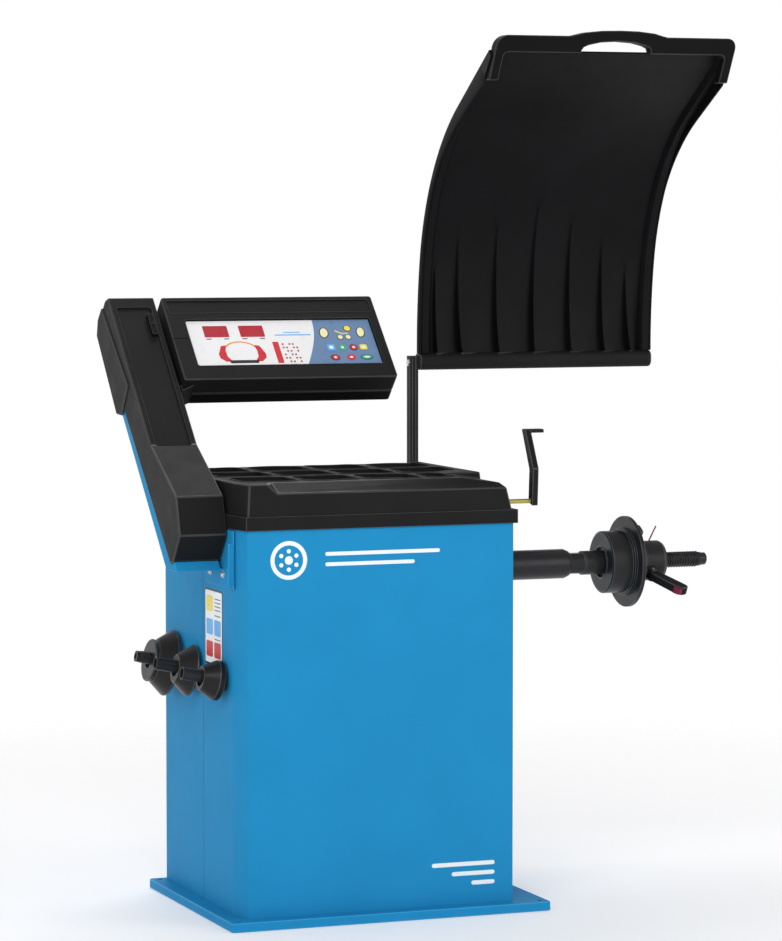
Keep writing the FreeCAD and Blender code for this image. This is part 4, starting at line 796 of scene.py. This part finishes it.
def keypad():
    sheet = around(WINDOW, 0, 4, 4)
    settle("keypad_film", solid(sheet, FILM, FILM + 1.6, leaning), WHITE_FILM, "display_membrane")
    curve = []
    steps = 16
    for step in range(steps + 1):
        share = step / steps
        rise = lerp(WINDOW.low, WINDOW.high, share)
        curve.append((lerp(-26, 15, sin(share * pi / 2)), rise))
    zone = curve + [(WINDOW.right - 4, WINDOW.high), (WINDOW.right, WINDOW.high - 4),
        (WINDOW.right, WINDOW.low + 4), (WINDOW.right - 4, WINDOW.low)]
    badge("keypad_blue_zone", [zone], SLATE_FILM, 0.15)

    for index, left in enumerate((-248, -164)):
        badge(f"digit_window_{index}", [rounded(left, 303, left + 57, 337, 1.5, 3)], RED_LENS, 0.5)
        marks = [rounded(left + x, 296.5, left + x + 12, 299, 1, 2) for x in (2, 43)]
        badge(f"digit_marks_{index}", marks, BLACK_INK, 0.2)

    # plain section of a rim between its two weight places
    middle = -173
    sides = []
    for side in (-1, 1):
        sides.append([(middle + side * x, rise) for x, rise in ((42, 229), (54, 240), (55, 252),
            (45, 276), (33, 278), (37, 262), (36, 244), (27, 230))])
    badge("rim_picture_sides", sides, RED_INK, 0.3)
    arch = [(middle + 40 * cos(radians(a)), 262 + 28 * sin(radians(a))) for a in range(20, 161, 10)]
    arch += [(middle + 36 * cos(radians(a)), 262 + 24.5 * sin(radians(a))) for a in range(160, 19, -10)]
    badge("rim_picture_arch", [arch], ORANGE_INK, 0.3)
    badge("rim_picture_base", [[(middle - 32, 224), (middle + 32, 224), (middle + 36, 233),
        (middle - 36, 233)]], BLACK_INK, 0.3)
    badge("level_bar", [rounded(-95, 223, -81, 287, 1.0, 2)], RED_INK, 0.3)
    dots = [oval(-72 + 8 * column, 227 + 10.5 * row, 2.2, 2.2, count=16) for column in range(5)
        for row in range(6) if (column + row) % 3]
    badge("level_lamps", dots, RED_LENS, 0.9)
    badge("plain_title_line", [rounded(-84, 306, 2, 309, 1.4, 3),
        rounded(-62, 314, -22, 316.5, 1.2, 3)], SKY_INK, 0.2)

    keys = (("cream", CREAM_INK, (oval(34, 312, 9, 14, -12), oval(122, 313, 8.5, 14, -12),
                                  oval(70, 298.5, 6, 6), oval(89, 298.5, 6, 6))),
            ("yellow", YELLOW_INK, (oval(93, 325, 7.5, 7.5), rounded(109, 260, 126, 275, 3, 4))),
            ("blue", SKY_INK, (rounded(31, 258, 50, 277, 4, 4),)),
            ("green", GREEN_INK, (rounded(59, 259, 75, 275, 4, 4), oval(118, 237, 13, 6.5))),
            ("red", RED_INK, (oval(94, 267, 8, 8), oval(43, 237, 9, 7.5),
                              oval(81, 237, 10, 8.5, 20))))
    for word, material, outlines in keys:
        badge(f"keys_{word}", outlines, material, 0.9)
    rims = []
    for across, rise, wide, tall in ((34, 312, 11, 16), (122, 313, 10.5, 16), (93, 325, 9, 9),
                                     (70, 298.5, 7.4, 7.4), (89, 298.5, 7.4, 7.4),
                                     (94, 267, 9.6, 9.6), (43, 237, 10.6, 9), (118, 237, 14.6, 8)):
        rims.append(oval(across, rise, wide, tall, -12 if tall == 16 else 0))
    badge("key_rims", rims, BLACK_PLASTIC, 0.4)
    light = [rounded(36, 263, 45, 272, 2, 3), rounded(64, 264, 70, 270, 1.5, 3),
        oval(94, 267, 3.2, 3.2, count=20), rounded(114, 265, 121, 270, 1.5, 3), oval(81, 237, 4, 3),
        oval(43, 237, 3.2, 3.2, count=20), oval(118, 237, 7, 2.4)]
    badge("key_signs", light, WHITE_INK, 1.0)
    badge("key_arc", [[(61, 317), (76, 308), (92, 309), (92, 312), (77, 311), (63, 320)]], YELLOW_INK,
        0.4)


# ---- spindle, nut, cones ----

def ring_piece(name, profile, material, replaced, bevel, spot=SHAFT_AXIS, count=96, closed=True,
               body="frame"):
    """A turned piece; closed joins the last point to the first."""
    bm = bmesh.new()
    (closed_spin if closed else spun)(bm, profile, spot, count)
    settle(name, bm, material, replaced, bevel, crease=25, body=body)


def thread(bm, start, end, crest, depth, pitch, spot, count=48, rows_per_turn=12):
    """A real helical thread with round crests, closed at both ends, along X."""
    total = int((end - start) / pitch * rows_per_turn)
    rows = []
    for step in range(total + 1):
        x = lerp(start, end, step / total)
        fade = min(1.0, (x - start) / pitch, (end - x) / pitch)
        ring = []
        for i in range(count):
            phase = (x / pitch - i / count) % 1.0
            wave = 0.5 - 0.5 * cos(2 * pi * phase)
            radius = crest - depth * (wave ** 0.7 * fade + (1 - fade) * 0.9)
            angle = 2 * pi * i / count
            ring.append(bm.verts.new((x, spot[0] + radius * cos(angle), spot[1] + radius * sin(angle))))
        rows.append(ring)
    for near, far in zip(rows, rows[1:]):
        for i in range(count):
            bm.faces.new((near[i - 1], near[i], far[i], far[i - 1]))
    bm.faces.new(rows[0])
    bm.faces.new(tuple(reversed(rows[-1])))


def spindle():
    ring_piece("spindle_tube", [(-60, 26), (-60, 33), (516, 33), (528, 28), (528, 20), (515, 20),
        (515, 26)], BLACK_STEEL, "spindle_housing", 1.0)
    bm = bmesh.new()
    spun(bm, [(-114, 0), (-114, 14.96), (529.5, 14.96), (529.5, 25.5), (561, 25.5), (561, 27),
        (563, 27), (563, 25.2), (566, 25.2), (566, 27), (611, 27), (611, 0)], SHAFT_AXIS)
    flat, side = 22.5, 24
    for vert in bm.verts:
        if 529 < vert.co.x < 561.1 and (vert.co - Vector((vert.co.x, *SHAFT_AXIS))).length < 25.6:
            vert.co.z = max(SHAFT_LEVEL - flat, min(SHAFT_LEVEL + flat, vert.co.z))
            vert.co.y = max(-side, min(side, vert.co.y))
    settle("spindle_shaft", bm, BLACK_STEEL, "main_shaft", 0.8, 2, crease=25, body="spindle")
    ring_piece("flange_disc", [(615, 0), (615, 33), (608.5, 34), (608.5, 36.5), (610.5, 38),
        (610.5, 66), (613, 70), (660, 70), (661.5, 77), (667.5, 77), (667.5, 102.5), (676.5, 102.5),
        (676.5, 72), (678, 72), (678, 64), (676.5, 64), (676.5, 17), (650, 17),
        (650, 0)], BLACK_STEEL, "wheel_flange", 0.9, closed=False, body="spindle")
    bm = bmesh.new()
    for spot in arc(*SHAFT_AXIS, 86, 45, 270, 3):
        spun(bm, [(672, 0), (672, 6), (677.2, 6), (678.4, 4.6), (678.4, 0)], spot, 24)
    settle("flange_screws", bm, ZINC, bevel=0.4, steps=2, crease=25, body="spindle")
    bm = bmesh.new()
    thread(bm, 676, 853, 18, 3.0, 6.5, SHAFT_AXIS)
    spun(bm, [(650, 0), (650, 15.5), (856, 15.5), (856, 14), (867, 14), (869, 12), (869, 6.5), (861, 6),
        (861, 0)], SHAFT_AXIS, 64)
    settle("spindle_thread", bm, BLACK_STEEL, "threaded_shaft", crease=50, body="spindle")


def balance_lug():
    """A small block clamped behind the disc's rim."""
    outline = arc(*SHAFT_AXIS, 92, 112, 18, 6) + arc(*SHAFT_AXIS, 74, 130, -18, 6)
    settle("flange_lug", solid(outline, 676, 690, along_x), BLACK_STEEL, bevel=2.5, crease=40,
        body="spindle")


def quick_nut():
    ring_piece("cup_ring", [(692, 18.6), (692, 56), (678.6, 56), (678.6, 61), (696, 61), (699, 58),
        (699, 18.6)], BLACK_PLASTIC, "pressure_cup", 0.8, body="clamp_cup")
    ring_piece("nut_barrel", [(699.5, 18.6), (699.5, 43), (702, 45), (704.5, 45), (705.5, 43.8),
        (707, 43.8), (708, 45), (750, 45), (757, 41), (757, 33), (754.5, 30.5), (754.5, 22),
        (757, 20.5), (757, 18.6)], BLACK_STEEL, "quick_nut", 0.5, body="clamp_nut")

    turn = Matrix.Translation((0, *SHAFT_AXIS)) @ Matrix.Rotation(radians(210), 4, "X")

    def turned(level, across, out):
        return tuple(turn @ Vector((across, out, level)))

    bm = bmesh.new()
    for side in (-1, 1):
        inner, outer = side * 11, side * 15
        ear = [(704, 36), (728, 36), (723, 57), (720, 60.5), (716, 61.5), (712, 60.5), (709, 57)]
        prism(bm, ear, min(inner, outer), max(inner, outer), turned)
    settle("nut_ears", bm, BLACK_STEEL, bevel=0.9, body="clamp_nut")
    handle = [(709, 50), (716, 47.5), (723, 49), (737, 66), (768, 103), (776, 113), (777, 119),
        (772, 123.5), (762, 125), (754, 122), (745, 112), (709, 64), (707, 57)]
    settle("nut_handle_grip", solid(handle, -10.5, 10.5, turned), BLACK_PLASTIC, "nut_lever", 2.6, 4,
        crease=50, body="nut_handle")
    liner = [(746, 112.5), (754, 121.5), (761, 125), (757, 126.3), (750, 123.5), (743, 115.5)]
    settle("nut_handle_liner", solid(liner, -7.5, 7.5, turned), RED_PAINT, bevel=0.5, steps=2,
        body="nut_handle")


PEG_TILT, PEG_LEVEL = radians(11), 517
PEG_BACKS = (190, 48, -138)


def peg_place(back, drop):
    """Matrix that puts a shape drawn along X on a peg, drop below its axis."""
    spot = (-330 - drop * sin(PEG_TILT), back, PEG_LEVEL - drop * cos(PEG_TILT))
    return Matrix.Translation(spot) @ Matrix.Rotation(PEG_TILT + pi, 4, "Y")


def pegs_and_cones():
    bm = bmesh.new()
    for index, back in enumerate(PEG_BACKS):
        part = bmesh.new()
        if index == 0:
            thread(part, 30, 90, 14, 1.8, 4.4, (0, 0), 40, 10)
            spun(part, [(3, 0), (3, 13.2), (32, 13.2), (32, 12.4), (88, 12.4), (97, 12.4), (97, 7),
                (90, 6.5), (90, 0)], (0, 0), 48)
        else:
            spun(part, [(3, 0), (3, 14), (95.8, 14), (97, 13), (97, 11.6), (96, 11), (40, 11), (40, 0)],
                (0, 0), 48)
        bmesh.ops.transform(part, matrix=peg_place(back, 0), verts=part.verts)
        spun(part, [(-333, 0), (-333, 24), (-330, 24), (-330, 0)], (back, PEG_LEVEL), 48)
        spare = bpy.data.meshes.new("part")
        part.to_mesh(spare)
        part.free()
        bm.from_mesh(spare)
        bpy.data.meshes.remove(spare)
    settle("peg_tubes", bm, BLACK_STEEL, "storage_pegs", crease=30)
    shapes = (("large", [(17, 68), (17, 71), (19, 73), (21.5, 73), (52, 49.5), (54.5, 47),
                         (55, 42.5), (59.5, 42.5), (60.2, 46.5), (62, 47.5), (65.5, 47), (67, 45),
                         (67, 18.2), (63, 18.2), (63, 22), (24, 60), (24, 66)]),
              ("medium", [(13, 52), (13, 55), (14.5, 56.5), (17, 56.5), (49, 31.5), (51, 29.5),
                          (51, 18.2), (47, 18.2), (19, 48)]),
              ("small", [(10, 39), (10, 42), (11.5, 43), (22.5, 43), (24, 42), (52, 27), (54, 25.5),
                         (54, 18.2), (48, 18.2), (17, 38)]))
    for back, (word, profile) in zip(PEG_BACKS, shapes):
        bm = bmesh.new()
        closed_spin(bm, profile, (0, 0), 96)
        bmesh.ops.transform(bm, matrix=peg_place(back, 4.1), verts=bm.verts)
        settle(f"cone_{word}_turned", bm, CONE_STEEL, f"cone_{word}", 0.9, crease=24,
            body=f"{word}_cone")


# ---- distance gauge ----

def gauge():
    spot = middle_of("gauge_rod")
    y, z, start, thick, half = spot.y, spot.z, 346, 14, 11
    top = high("gauge_arm").z
    outline = [(y - half, z - 10), (y + half, z - 4), (y + half - 5, z + 68), (y + half + 38, top),
        (y - half + 40, top), (y - half - 5, z + 71)]
    settle("gauge_arm_bar", solid(outline, start, start + thick, along_x), BLACK_PAINT, "gauge_arm",
        2.0, crease=12, body="gauge_probe")
    tip = [(y - half + 39, top - 8), (y + half + 40, top - 8), (y + half + 40, top),
        (y - half + 41, top)]
    settle("gauge_finger", solid(tip, start + 2, start + 45, along_x), BLACK_PAINT, bevel=1.6,
        body="gauge_probe")


# ---- hood ----

HOOD = SimpleNamespace(left=327, right=917, back=412, start=1185, straight=1200, wide=1150,
    wide_turn=10, tight=520, tight_turn=57, front=-22)
PLEATS = ((368, 361, 1408), (431, 413, 1482), (524, 508, 1512), (613, 604, 1564), (707, 694, 1526),
    (793, 778, 1468), (860, 843, 1400))
WALL_START, WALL_KNEE, WALL_END, WALL_DEEPEST, WALL_LAST = 1569, 1830, 1867, 40, 18
PLEAT_DEPTH, RIM_DEPTH, RIM_WIDTH, HOOD_SHEET_THICK = 17.0, 16.0, 26.0, 4.0


def hood_line(count):
    """Points (Y, Z) and inward normals up the hood's outer skin."""
    first, last = radians(HOOD.wide_turn), radians(HOOD.tight_turn)
    centre = Vector((HOOD.back - HOOD.wide, HOOD.straight))
    middle = centre + Vector((cos(first), sin(first))) * (HOOD.wide - HOOD.tight)
    knee = middle + Vector((cos(last), sin(last))) * HOOD.tight
    lengths = [HOOD.straight - HOOD.start, HOOD.wide * first, HOOD.tight * (last - first),
        (knee.x - HOOD.front) / sin(last)]
    total = sum(lengths)
    rows = []
    for step in range(count + 1):
        way = total * step / count
        if way <= lengths[0]:
            spot, turn = Vector((HOOD.back, HOOD.start + way)), 0.0
        elif way <= lengths[0] + lengths[1]:
            turn = (way - lengths[0]) / HOOD.wide
            spot = centre + Vector((cos(turn), sin(turn))) * HOOD.wide
        elif way <= sum(lengths[:3]):
            turn = first + (way - lengths[0] - lengths[1]) / HOOD.tight
            spot = middle + Vector((cos(turn), sin(turn))) * HOOD.tight
        else:
            turn = last
            spot = knee + Vector((-sin(last), cos(last))) * (way - sum(lengths[:3]))
        rows.append((spot, Vector((-cos(turn), -sin(turn)))))
    return rows


def pleat_state(rise):
    """For each pleat its X and its step height at that level."""
    state = []
    for bottom, apex, peak in PLEATS:
        share = max(0.0, min(1.0, (rise - HOOD.start) / (peak - HOOD.start)))
        x = lerp(bottom, apex, share ** 0.55)
        state.append((x, PLEAT_DEPTH * (1 - share) ** 0.8))
    return state


def wall_depth(rise):
    """Depth of the thin wall at each side, which grows towards the front edge."""
    if rise <= WALL_START:
        return RIM_DEPTH
    if rise <= WALL_KNEE:
        share = (rise - WALL_START) / (WALL_KNEE - WALL_START)
        return lerp(RIM_DEPTH, WALL_DEEPEST, share ** 1.3)
    return lerp(WALL_DEEPEST, WALL_LAST, (rise - WALL_KNEE) / (WALL_END - WALL_KNEE))


def hood_section(rise):
    """(X, depth) across the hood's inner face at one level, left to right."""
    left, right = HOOD.left, HOOD.right
    sheet, wall = HOOD_SHEET_THICK, wall_depth(rise)
    inner_left, inner_right = left + RIM_WIDTH + 5, right - RIM_WIDTH - 5
    spots = [(left, 0), (left, wall - 2), (left + 1.5, wall), (left + 4, wall),
        (left + 5.5, wall - 1.5), (left + 6, RIM_DEPTH - 1.5), (left + 7.5, RIM_DEPTH),
        (left + RIM_WIDTH - 3, RIM_DEPTH), (left + RIM_WIDTH, RIM_DEPTH - 3), (inner_left, sheet)]
    state = pleat_state(rise)
    panels = [(inner_left, 0.0), *state]
    steps = 7
    for index, (start, height) in enumerate(panels):
        end = state[index][0] if index < len(state) else inner_right
        for step in range(1 if index == 0 else 0, steps + 1):
            share = step / steps
            across = lerp(start + (3.5 if index else 0), end, share)
            crown = 0.16 * height * sin(pi * share)
            spots.append((across, sheet + height * (1 - share) ** 1.15 + crown))
    spots += [(right - RIM_WIDTH, RIM_DEPTH - 3), (right - RIM_WIDTH + 3, RIM_DEPTH),
        (right - 7.5, RIM_DEPTH), (right - 6, RIM_DEPTH - 1.5), (right - 5.5, wall - 1.5),
        (right - 4, wall), (right - 1.5, wall), (right, wall - 2), (right, 0)]
    return spots


def hood_shell():
    bm = bmesh.new()
    rings = []
    for spot, inward in hood_line(72):
        section = hood_section(spot.y)
        front, rear = [], []
        for x, depth in section:
            place = spot + inward * depth
            front.append(bm.verts.new((x, place.x, place.y)))
            rim = x < HOOD.left + RIM_WIDTH + 4 or x > HOOD.right - RIM_WIDTH - 4
            behind = 0.0 if rim else max(0.0, depth - HOOD_SHEET_THICK)
            skin = spot + inward * behind
            rear.append(bm.verts.new((x, skin.x, skin.y)))
        rings.append(front + list(reversed(rear)))
    for near, far in zip(rings, rings[1:]):
        for i in range(len(near)):
            bm.faces.new((near[i - 1], near[i], far[i], far[i - 1]))
    half = len(rings[0]) // 2
    for ring in (rings[0], rings[-1]):
        for i in range(half - 1):
            bm.faces.new((ring[i], ring[i + 1], ring[-2 - i], ring[-1 - i]))
    settle("hood_formed_shell", bm, HOOD_SHEET, "hood_shell", crease=38, body="hood")


def hood_bar():
    """The front edge: a strip with a raised grip over its hand slot, and two legs."""
    left, right, middle = HOOD.left + 4, HOOD.right - 4, 622
    bottom, strip, top, leg, corner = 1801, 1862, 1899, 22, 24
    outline = [(left, bottom), (left + leg, bottom), (left + leg, strip - 10),
        (left + leg + 3, strip - 3), (left + leg + 10, strip)]
    slot = [(-84, strip), (-84, 1868), (-80, 1875), (-68, 1880), (-40, 1886), (0, 1888.5)]
    outline += [(middle + x, z) for x, z in slot]
    outline += [(middle - x, z) for x, z in reversed(slot[:-1])]
    outline += [(right - leg - 10, strip), (right - leg - 3, strip - 3), (right - leg, strip - 10),
        (right - leg, bottom), (right, bottom)]
    outline += arc(right - corner, top - corner, corner, 0, 90, 6)
    grip = [(118, top), (104, top + 3), (84, top + 8), (44, top + 12), (0, top + 13)]
    outline += [(middle + x, z) for x, z in grip]
    outline += [(middle - x, z) for x, z in reversed(grip[:-1])]
    outline += arc(left + corner, top - corner, corner, 90, 90, 6)
    bm = bmesh.new()
    prism(bm, outline, -51.5, -24, facing)
    for vert in bm.verts:
        vert.co.y += (top - 28 - vert.co.z) * 0.55
    settle("hood_front_edge", bm, DARK_PLASTIC, "hood_front_bar", 2.6, 4, crease=40, body="hood")


def hood_low_edge():
    left, right = HOOD.left, HOOD.right
    outline = rounded(390.5, 1146, 427.5, 1185.5, 15, 6)
    settle("hood_low_roll", solid(outline, left, right, along_x), BLACK_PLASTIC, "hood_lip", 5.0, 4,
        crease=40, body="hood")


HOOD_PIVOT = (409, 880)


def hood_arm():
    left, right, front, back, groove, half = 305, 326, 398.5, 419.5, 1.3, 4.5
    middle_x, middle_y = (left + right) / 2, (front + back) / 2
    outline = [(left, front), (middle_x - half, front), (middle_x - half + 1, front + groove),
        (middle_x + half - 1, front + groove), (middle_x + half, front), (right, front), (right, back),
        (left, back), (left, middle_y + half), (left + groove, middle_y + half - 1),
        (left + groove, middle_y - half + 1), (left, middle_y - half)]
    settle("hood_arm_tube", solid(outline, 884, 1179, flat_on), BLACK_PAINT, "hood_arm", 1.2, crease=20,
        body="hood")
    ring_piece("hood_arm_boss", [(305, 12.6), (305, 20), (307, 22), (324, 22), (326, 20), (326, 12.6)],
        BLACK_PAINT, None, 0.8, HOOD_PIVOT, 64, body="hood")
    ring_piece("hood_arm_rail", [(326, 0), (326, 13.4), (330, 13.4), (330, 0)], BLACK_PAINT, None, 0.6,
        (409, 1165), 48, closed=False, body="hood")
    bm = bmesh.new()
    spun(bm, [(302.5, 0), (302.5, 8), (305.5, 9.5), (305.5, 0)], (409, 1163), 6)
    spun(bm, [(303, 0), (303, 13), (305.5, 14), (305.5, 0)], HOOD_PIVOT, 40)
    settle("hood_arm_bolts", bm, ZINC, bevel=0.5, steps=2, crease=25, body="hood")


# ---- fittings ----

def bracket_bolts():
    """Round-headed hexagon-socket bolts with washers."""
    face = high("post_bracket_bolts").x
    bm = bmesh.new()
    for back in (-146, -62):
        spun(bm, [(face, 0), (face, 8), (face - 1.6, 8), (face - 1.6, 6.4), (face - 4.4, 6.2),
            (face - 6, 4.6), (face - 6.5, 3.2), (face - 3.6, 3.0), (face - 3.6, 0)], (back, 743), 32)
    settle("bracket_bolts_turned", bm, ZINC, "post_bracket_bolts", 0.3, 2, crease=25)


def power_entry():
    refined("mains_inlet", DARK_PLASTIC, 0.6)
    refined("switch_frame", DARK_PLASTIC, 0.6)
    refined("switch_rocker", RED_LENS, 0.5, body="mains_rocker")
    middle = middle_of("mains_inlet")
    bm = bmesh.new()
    for across, rise in ((-6, 2), (6, 2), (0, -3)):
        x, z = middle.x + across, middle.z + rise
        prism(bm, rectangle(x - 1, z - 2.5, x + 1, z + 2.5), 256, 270, facing)
    settle("inlet_blades", bm, ZINC, bevel=0.3, steps=2)


KEPT_NODES = {
    "top_deck": PRIMER, "display_board": BOARD, "digit_modules": RED_LENS,
    "display_bracket": PRIMER, "spindle_bearings": ZINC, "housing_block": CASTING,
    "pedestal": PRIMER, "force_sensors": ZINC, "flexure_plates": ZINC, "motor_body": MOTOR,
    "motor_shaft": ZINC, "motor_pulley": ZINC, "spindle_pulley": MOTOR, "drive_belt": RUBBER,
    "encoder_disc": ZINC, "encoder_sensor": BLACK_PLASTIC, "hood_pivot_shaft": ZINC,
    "hood_bushes": BRONZE, "hood_stops": ZINC, "gauge_bracket": PRIMER, "gauge_rail": ZINC,
    "gauge_carriage": BLACK_PLASTIC, "gauge_rod": BRASS, "lever_pin": ZINC, "nut_rod": RED_PAINT,
    "power_box": PRIMER, "power_board": BOARD,
}

make_stage()
cabinet()
base_pan()
wheel_mark()
side_label()
tray()
display_post()
display_head()
keypad()
spindle()
balance_lug()
quick_nut()
pegs_and_cones()
gauge()
hood_shell()
hood_bar()
hood_low_edge()
hood_arm()
bracket_bolts()
power_entry()
for kept, finish in KEPT_NODES.items():
    paint(kept, finish)
